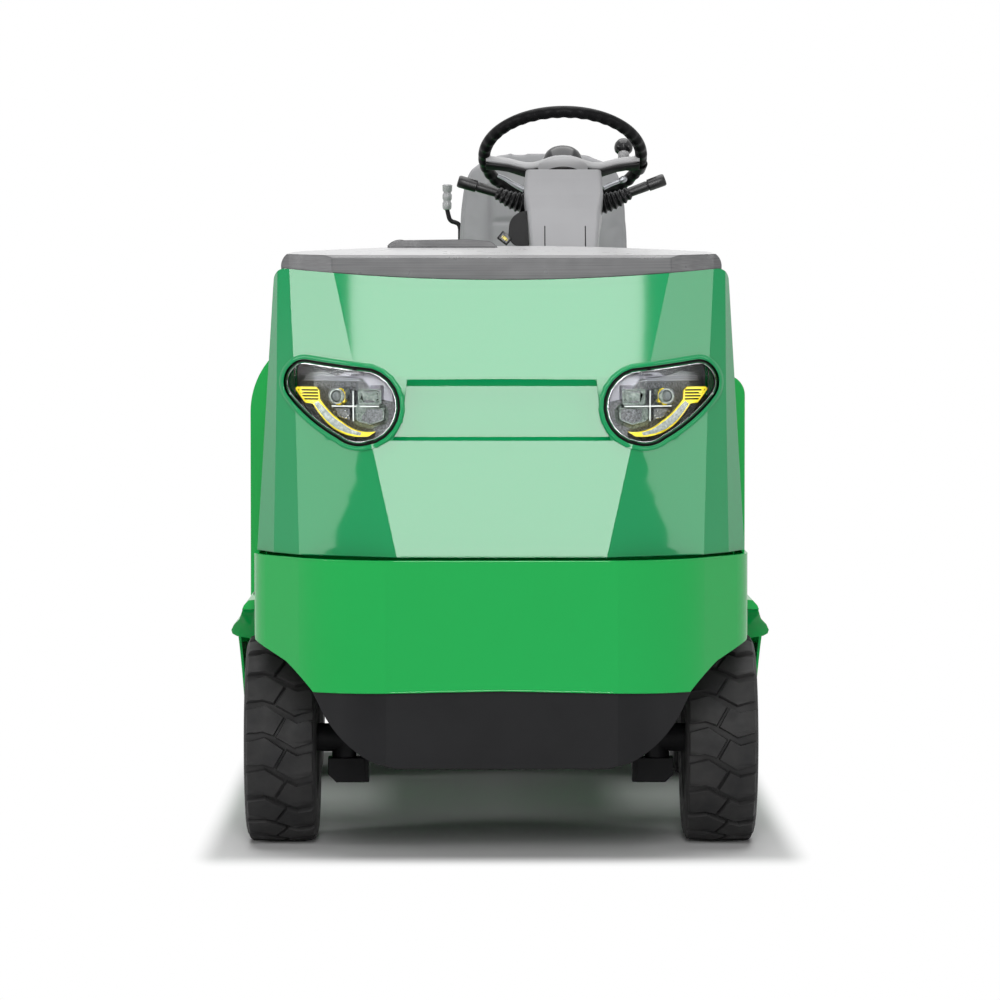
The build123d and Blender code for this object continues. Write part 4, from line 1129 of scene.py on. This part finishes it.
def footwell():
    mat = softened(prism(rect(-500, 500, stn(704), stn(1168), 30), FLOOR_Z, FLOOR_Z + 2.5, "z"), 1.0)
    piece("floor_mat", merged(mat, ribs_across(-488, 488, 718, 1154, FLOOR_Z + 2.5, 2.5, 37)), "floor_rubber")
    strip = cuboid(541.5, 555, stn(704), stn(1684), 529, 533)
    piece("step_tread", both_sides(merged(strip, ribs_across(542.5, 554, 712, 1676, 533, 2, 81))), "floor_rubber")
    pads, y = [], stn(778)
    for x, half in ((215, 35), (105, 40)):
        pads.append(softened(cuboid(x - half + 2, x + half - 2, y, y + 4, 562, 638), 1.2))
        for z in range(570, 631, 12):
            pads.append(prism([(y + 4, z - 3), (y + 7, z - 1.5), (y + 7, z + 1.5), (y + 4, z + 3)],
                              x - half + 7, x + half - 7, "x"))
    piece("pedal_pads", merged(*pads), "floor_rubber")
    piece("bulkhead_panel", upright_plate(rect(-420, -70, 640, 1120, 22), BULKHEAD, 2.5), "body_paint")
    places = [(x, BULKHEAD + 2.5, z) for x in (-404, -245, -86) for z in (656, 1104, 880) if (x, z) != (-245, 880)]
    piece("bulkhead_screws", heads(BUTTON_HEAD, places, "back"), "bare_steel")


def louvre(x, z, y0, y1):
    """Pressed hood over a vent slot in an upright side wall, open downwards."""
    rows = []
    for i in range(9):
        t = i / 8
        swell = min(1.0, 3.2 * min(t, 1 - t)) ** 0.5
        rows.append([(x + out * swell - (0 if out else 0.5), y0 + (y1 - y0) * t, z - down) for out, down in
                     ((0, 0), (3.5, 1), (8, 8), (8.5, 12), (7, 12), (6.5, 8), (2, 3), (0, 3))])
    return skin(rows)


def battery_bay():
    vents = [louvre(416, 560 + 24 * row, stn(s), stn(s + 190)) for row in range(8) for s in (1240, 1540)]
    piece("bay_louvres", both_sides(merged(*vents)), "body_paint")
    outer, inner = rect(-415, 415, stn(1181), stn(1837), 8), rect(-407, 407, stn(1189), stn(1829), 5)
    rows = [[(x, y, z) for x, y in line] for line, z in ((outer, 797), (outer, 798.2), (inner, 798.2), (inner, 797))]
    piece("bay_seal", skin(rows, loop=True), "floor_rubber", "boot_rubber")
    battery_cells()
    charge_socket()
    hood_fittings()


CELLS_ACROSS, CELLS_ALONG, FIRST_CELL, CELL_PITCH, CELL_TOP = 8, 4, (-341, 1276), (97.4, 155.3), 784


def battery_cells():
    """Lids, vent caps and the links between neighbours."""
    lids, caps, links = [], [], []
    for i in range(CELLS_ACROSS):
        for j in range(CELLS_ALONG):
            x, y = FIRST_CELL[0] + CELL_PITCH[0] * i, stn(FIRST_CELL[1]) + CELL_PITCH[1] * j
            lids.append(softened(cuboid(x - 46, x + 46, y - 74, y + 74, 779.5, CELL_TOP), 1.5))
            caps += [at(x + dx, y + dy, CELL_TOP) for dx, dy in ((0, 0), (-26, -52), (26, 52))]
            if i < CELLS_ACROSS - 1:
                links.append(softened(cuboid(x + 18, x + 79, y - 7, y + 7, CELL_TOP + 3, CELL_TOP + 6), 1))
    cap = knob([(8, 7), (9.5, 5.5), (9.5, 1.5), (12, 0), (12, -1)], 16)
    piece("battery_lids", merged(*lids), "battery_case")
    piece("battery_caps", placed(cap, *caps), "battery_case", "gloss_black")
    piece("battery_links", merged(*links), "bare_steel", "dull_steel")


def charge_socket():
    face = BAY_FRONT - 7.5
    plug = knob([(30, 16), (36, 14.5), (38, 11), (38, 0), (42, -1)], 48)
    socket = [softened(prism(rect(-318, -202, 596, 704, 14), stn(face), stn(BAY_FRONT)), 1.5),
              heads(plug, [(-260, 1172, 650)], "front"),
              softened(cuboid(-276, -244, stn(1150), stn(1172), 686, 698), 2.5)]
    piece("charge_socket", merged(*socket), "dark_plastic")
    places = [(x, face, z) for x in (-307, -213) for z in (607, 693)]
    piece("charge_socket_screws", heads(BUTTON_HEAD, places, "front", 0.8), "bare_steel")


def hood_fittings():
    """Handle, latches with their catches, and the ends of the hinge's pins."""
    half = [(0, 0), (1, 18), (16, 30)]
    handle = [(-330 + x, 0, z) for x, z in half] + [(-260, 0, 32)] + [(-190 - x, 0, z) for x, z in reversed(half)]
    feet = placed(knob([(11, 5), (15, 3), (16, 0), (16, -1)], 28), at(-330, 0, 0), at(-190, 0, 0))
    piece("hood_handle", merged(sweep(curved(handle), 6.5, 16), feet), "black_paint", body="seat_hood",
          matrix=at(0, stn(1212), HOOD_Z))

    def fitting(low, high, bottom, top, x0, x1, soft):
        """Side plate at the latch's station: half length at its bottom and top, heights, thickness."""
        outline = ((-low, bottom), (low, bottom), (high, top), (-high, top))
        return softened(prism([(stn(1308 + along), z) for along, z in outline], x0, x1, "x"), soft)

    latch = merged(fitting(18, 18, 738, 786, 416, 420, 1.5), fitting(10, 8, 742, 780, 420, 428, 2.5))
    piece("hood_latches", both_sides(latch), "bare_steel")
    piece("hood_catches", both_sides(fitting(14, 10, 802, 822, 421, 427, 1.5)), "bare_steel", body="seat_hood")
    pin = knob([(4, 5), (7, 3), (7.5, 0), (7.5, -1)], 20)
    pins = [at(x + side * 44, stn(HOOD_HINGE), 815) @ turned("Y", 90 * side)
            for x in (-250, 0, 250) for side in (-1, 1)]
    piece("hinge_pin_heads", placed(pin, *pins), "bare_steel")


def seat_mounting():
    folds = []
    for k in range(17):
        grow = 7.0 if k % 2 else 1.0
        outline = rect(-60 - grow, 280 + grow, stn(1220) - grow, stn(1560) + grow, 26)
        folds.append([(x, y, 831 + 5.5 * k) for x, y in outline])
    piece("seat_bellows", skin(folds), "dark_plastic", "boot_rubber", 20, "seat_hood")
    slides = [softened(cuboid(x, x + 12, stn(1186), stn(1606), 899, 919), 2) for x in (-84, 292)]
    piece("seat_slides", merged(*slides), "bare_steel", body="seat_hood")
    bar = [(x, stn(station), z) for x, station, z in
           ((-78, 1190, 906), (-78, 1176, 902), (-60, 1172, 900), (110, 1172, 898), (280, 1172, 900),
            (298, 1176, 902), (298, 1190, 906))]
    piece("seat_slide_bar", sweep(curved(bar), 4.5, 12), "black_paint", body="seat_hood")
    boot = [(34, 0), (35, 3), (30, 7), (33, 11), (27, 16), (30, 20), (23, 26), (26, 30), (18, 37), (21, 41), (12, 50),
            (9, 58), (0.01, 58), (0.01, 0)]
    stretch = at(-92, stn(BRAKE_STATION), HOOD_Z) @ Matrix.Diagonal((1, 1.25, 1, 1))
    piece("brake_lever_boot", placed(lathe(boot, 40), stretch), "black_paint", "boot_rubber", 30, "seat_hood")


# tread bars of the deck: rows across and along, half width, first station and length
BARS_ACROSS, BARS_ALONG, TREAD_HALF, TREAD_FROM, TREAD_LENGTH = 18, 15, 402, 1900, 626


def deck():
    bars = []
    lozenge = [(-15, 0), (-9, -3), (9, -3), (15, 0), (9, 3), (-9, 3)]
    bar = skin([[(x * s, y * s, z) for x, y in lozenge] for s, z in ((1, -0.4), (0.8, 1.5))])
    for i in range(BARS_ACROSS):
        for j in range(BARS_ALONG):
            x = TREAD_HALF * (2 * i / (BARS_ACROSS - 1) - 1)
            y = stn(TREAD_FROM) + TREAD_LENGTH * j / (BARS_ALONG - 1)
            bars.append(placed(bar, at(x, y, DECK_Z) @ turned("Z", 45 if (i + j) % 2 else -45)))
    piece("deck_tread", merged(*bars), "body_paint")
    ring = [(x, y - 14, 5.5) for x, y in circle(40, 20)]
    lug_block = softened(cuboid(-26, 26, 0, 18, 0, 10), 2.5)
    lashing = merged(sweep(ring + ring[:2], 4, 12), lug_block)
    piece("lashing_rings", placed(lashing, *[at(x, stn(2530), DECK_Z) for x in (-330, 330)]), "bare_steel")


# wheel arch: radius, and the angle at which its lip starts and ends
ARCH_RADIUS, ARCH_FROM = 291, 21.8


def rear_end():
    piece("rear_panel", upright_plate(rect(-385, 385, 560, 862, 24), REAR_WALL, 2.5), "body_paint")
    face = stn(REAR_WALL + 24)

    def heads_piece(name, shape, station, xs, zs, size=1.0, look=None):
        places = [(x * side, station, z) for x in xs for side in ((-1, 1) if x else (1,)) for z in zs]
        piece(name, heads(shape, places, "back", size), "bare_steel", look)

    heads_piece("rear_panel_screws", BUTTON_HEAD, REAR_WALL + 2.5, (366, 183, 0), (577, 845))
    for name, z0, look in (("low", 568, "clear_lens"), ("middle", 646, "rear_lamp_lens"), ("top", 724, "amber_lens")):
        cover = [softened(prism(rect(496, 560, z0 + 2, z0 + 66, 9), face - 0.5, face + 2.2), 0.8)]
        for k in range(8):
            x = 503.5 + 7 * k
            cover.append(prism([(x - 2.6, face + 2.2), (x + 2.6, face + 2.2), (x, face + 4.4)], z0 + 7, z0 + 61, "z"))
        piece("rear_lamp_cover_" + name, both_sides(merged(*cover)), "rear_lamp_lens", look)
    rim = lathe([(30, -1), (30, 5), (33, 6.5), (36, 5), (37, -1)], 48, closed=True)
    rings = [point for r in range(3, 30, 3) for point in ((r, 4.5 + r % 2), (r + 1.5, 3.4))]
    disc = lathe([(0.01, 4.5), *rings, (30, 3), (30, -1), (0.01, -1)], 48)
    for name, shape, slot in (("rims", rim, "black_paint"), ("discs", disc, "rear_lamp_lens")):
        spots = heads(shape, [(528, REAR_WALL, 858)], "back")
        piece("rear_reflector_" + name, both_sides(spots), slot, None, 20)
    heads_piece("bumper_bolts", HEX_HEAD, REAR_WALL + 40, (525, 420, 300, 140), (335, 485), 1.1, "dull_steel")
    heads_piece("coupling_bolts", HEX_HEAD, JAW_WALL, (66,), (345, 424), 1.15, "dull_steel")
    ring = [(30, stn(TOW_PIN) + y, 495 + z) for y, z in circle(32, 12)]
    piece("tow_pin_ring", sweep(ring + ring[:2], 2.2, 10), "bare_steel", body="tow_pin")
    lip = [(602.4, stn(REAR_AXLE) + ARCH_RADIUS * math.cos(a), AXLE_HEIGHT + ARCH_RADIUS * math.sin(a))
           for a in [math.radians(ARCH_FROM + (180 - 2 * ARCH_FROM) * k / 48) for k in range(49)]]
    piece("rear_arch_lips", both_sides(sweep(lip, 4.4, 10)), "floor_rubber")


# drive motor: station of its first fin, height, fins and their pitch; then the back of the axle housing
MOTOR_FROM, MOTOR_HEIGHT, FINS, FIN_PITCH, AXLE_BACK = 1590, 234, 13, 22, 2045


def springs_and_axles():
    clamps = []
    for station, reach, top, bottom in ((FRONT_AXLE, 43, 289, 180), (REAR_AXLE, 54, 319, 172)):
        for y in (stn(station - reach), stn(station + reach)):
            right = [(232, y, top + 2), (240, y, top - 1), (244, y, top - 8), (244, y, bottom - 14)]
            left = [(420 - x, y, z) for x, y, z in reversed(right)]
            clamps.append(sweep(left + right, 5, 10))
            clamps.append(placed(HEX_HEAD, *[at(x, y, bottom - 6) @ turned("X", 180) for x in (176, 244)]))
        plate = cuboid(168, 252, stn(station - reach - 12), stn(station + reach + 12), bottom - 6, bottom + 2)
        clamps.append(softened(plate, 2))
    piece("spring_clamps", both_sides(merged(*clamps)), "frame_paint", "dull_steel")
    fin = lathe([(84, -2), (91, -1.5), (91, 1.5), (84, 2)], 64, closed=True)
    fins = placed(fin, *[at(0, stn(MOTOR_FROM + FIN_PITCH * k), MOTOR_HEIGHT) @ turned("X", 90) for k in range(FINS)])
    piece("motor_fins", fins, "frame_paint")
    cover = knob([(40, 12), (62, 7), (70, 0), (82, -1), (82, -6)], 64)
    bolts = placed(HEX_HEAD, *[at(x, y, 0) @ Matrix.Scale(0.7, 4) for x, y in circle(8, 76)])
    piece("axle_cover", heads(merged(cover, bolts), [(0, AXLE_BACK, AXLE_HEIGHT)], "back"), "frame_paint")


# ---------------------------------------------------------------- rolled sheet edges
def edge_height(node, x, inside, outside):
    """Height at which a node's front ends on the way from a height inside it to one outside."""
    for _ in range(24):
        middle = (inside + outside) / 2
        hit = seen_from_front(node, x, middle)
        if hit is not None and hit.y < FRONT_ENDS:
            inside = middle
        else:
            outside = middle
    return inside


def bead(node, half_width, inside, outside, radius):
    """Rolled edge along the top or bottom of a sheet's front."""
    path = []
    for k in range(61):
        x = half_width * (k / 30 - 1)
        z = edge_height(node, x, inside, outside) + radius * (0.8 if outside < inside else -0.8)
        path.append((x, front_of(node, x, z) + radius * 0.75, z))
    return sweep(path, radius, 10)


def rolled_edges():
    for name, look, *edge in (("cowl_bottom_edge", "cowl_paint", "front_cowl", 425, 700, 640, 1.6),
                              ("bumper_top_edge", None, "front_bumper", 470, 600, 660, 2.2),
                              ("bumper_bottom_edge", None, "front_bumper", 350, 500, 330, 2.2)):
        piece(name, bead(*edge), "body_paint", look, 60)


# ---------------------------------------------------------------- stage
CAMERA_AT = (-0.061, FRONT_Y - 10.0, 1.2)
# millimetres, degrees down, degrees to the right
LENS, PITCH, YAW = 171.54, 2.451, 0.326


def camera():
    data = bpy.data.cameras.new("camera")
    data.lens, data.sensor_width = LENS, 36.0
    data.clip_end = 200.0
    obj = bpy.data.objects.new("camera", data)
    obj.location = CAMERA_AT
    obj.rotation_euler = (math.radians(90 - PITCH), 0, math.radians(-YAW))
    bpy.context.scene.collection.objects.link(obj)
    bpy.context.scene.camera = obj


def panel_light(name, centre, target, width, height, radiance):
    """Soft rectangular lamp that faces a target, of a given brightness per area."""
    data = bpy.data.lights.new(name, "AREA")
    data.shape, data.size, data.size_y = "RECTANGLE", width, height
    data.energy = math.pi * radiance * width * height
    obj = bpy.data.objects.new(name, data)
    obj.location = centre
    obj.rotation_euler = (Vector(target) - Vector(centre)).to_track_quat("-Z", "Y").to_euler()
    bpy.context.scene.collection.objects.link(obj)


def seen_directly(owner):
    """Socket that is 1 for camera, mirror and glass rays."""
    path = new_node(owner, "LightPath")
    total = path.outputs["Is Camera Ray"]
    for name in ("Is Glossy Ray", "Is Transmission Ray"):
        either = new_node(owner, "Math", "MAXIMUM")
        join(total, either.inputs[0])
        join(path.outputs[name], either.inputs[1])
        total = either.outputs[0]
    return total


def world():
    """White to camera, mirror and glass rays, and a dim light to all others."""
    studio_world = bpy.data.worlds.new("studio")
    bpy.context.scene.world = studio_world
    studio_world.use_nodes = True
    background = studio_world.node_tree.nodes["Background"]
    background.inputs["Color"].default_value = (1, 1, 1, 1)
    strength = new_node(studio_world, "MapRange", To_Min=0.10, To_Max=1.0)
    join(seen_directly(studio_world), strength.inputs["Value"])
    join(strength.outputs["Result"], background.inputs["Strength"])


# the floor keeps its shadow in a box round the tug (half sizes, metres) and fades to white outside it, faster across
SHADE_BOX, SHADE_STRETCH, SHADE_FADE = (0.60, 1.15, 0.0), (3.4, 1.0, 0.0), 0.24


def floor():
    """Pale floor that keeps the shadow near the tug and turns into the white background further out."""
    bpy.ops.mesh.primitive_plane_add(size=120.0, location=(0, 0, 0))
    plane = bpy.context.object
    plane.name = "studio_floor"
    mat = bpy.data.materials.new("studio_floor")
    mat.use_nodes = True
    mat.node_tree.nodes.clear()
    away = new_node(mat, "TexCoord").outputs["Object"]
    for operation, other in (("ABSOLUTE", None), ("SUBTRACT", SHADE_BOX), ("MAXIMUM", None),
                             ("MULTIPLY", SHADE_STRETCH), ("LENGTH", None)):
        step = new_node(mat, "VectorMath", operation)
        if other:
            step.inputs[1].default_value = other
        join(away, step.inputs[0])
        away = step.outputs["Value" if operation == "LENGTH" else "Vector"]
    far = new_node(mat, "MapRange", From_Min=0.0, From_Max=SHADE_FADE)
    far.interpolation_type = "SMOOTHSTEP"
    join(away, far.inputs["Value"])
    white = new_node(mat, "Math", "MULTIPLY")
    join(far.outputs["Result"], white.inputs[0])
    join(seen_directly(mat), white.inputs[1])
    mix = new_node(mat, "MixShader")
    join(white.outputs[0], mix.inputs["Fac"])
    join(new_node(mat, "BsdfDiffuse", Color=(0.80, 0.80, 0.80, 1)).outputs[0], mix.inputs[1])
    join(new_node(mat, "Emission").outputs[0], mix.inputs[2])
    join(mix.outputs[0], new_node(mat, "OutputMaterial").inputs["Surface"])
    plane.data.materials.append(mat)


# name, place, what it faces, width, height, radiance
PANELS = (("front_panel", (0.05, -11.0, 5.0), (0.05, 0, 5.0), 1.6, 7.0, 14.5),
          ("low_panel", (-8.4, -5.4, 1.05), (-0.4, -1.25, 1.05), 2.8, 1.6, 4.4),
          ("high_panel", (-8.7, -3.7, 2.75), (-0.4, -1.25, 1.3), 2.4, 1.5, 12.0),
          ("low_panel", (8.4, -5.4, 1.05), (0.4, -1.25, 1.05), 2.8, 1.6, 4.2),
          ("high_panel", (8.7, -3.7, 2.75), (0.4, -1.25, 1.3), 2.4, 1.5, 5.0),
          ("top_panel", (0, 0.2, 6.5), (0, 0.2, 0), 6.0, 7.0, 3.0))


def studio():
    bpy.context.scene.view_settings.view_transform = "Standard"
    camera()
    world()
    floor()
    for panel in PANELS:
        panel_light(*panel)


dress_nodes()
studio()
wheels()
steering()
column_controls()
column_trim()
parking_grip()
headlamps()
seat_cushion()
seat_backrest()
footwell()
battery_bay()
seat_mounting()
deck()
rear_end()
springs_and_axles()
rolled_edges()
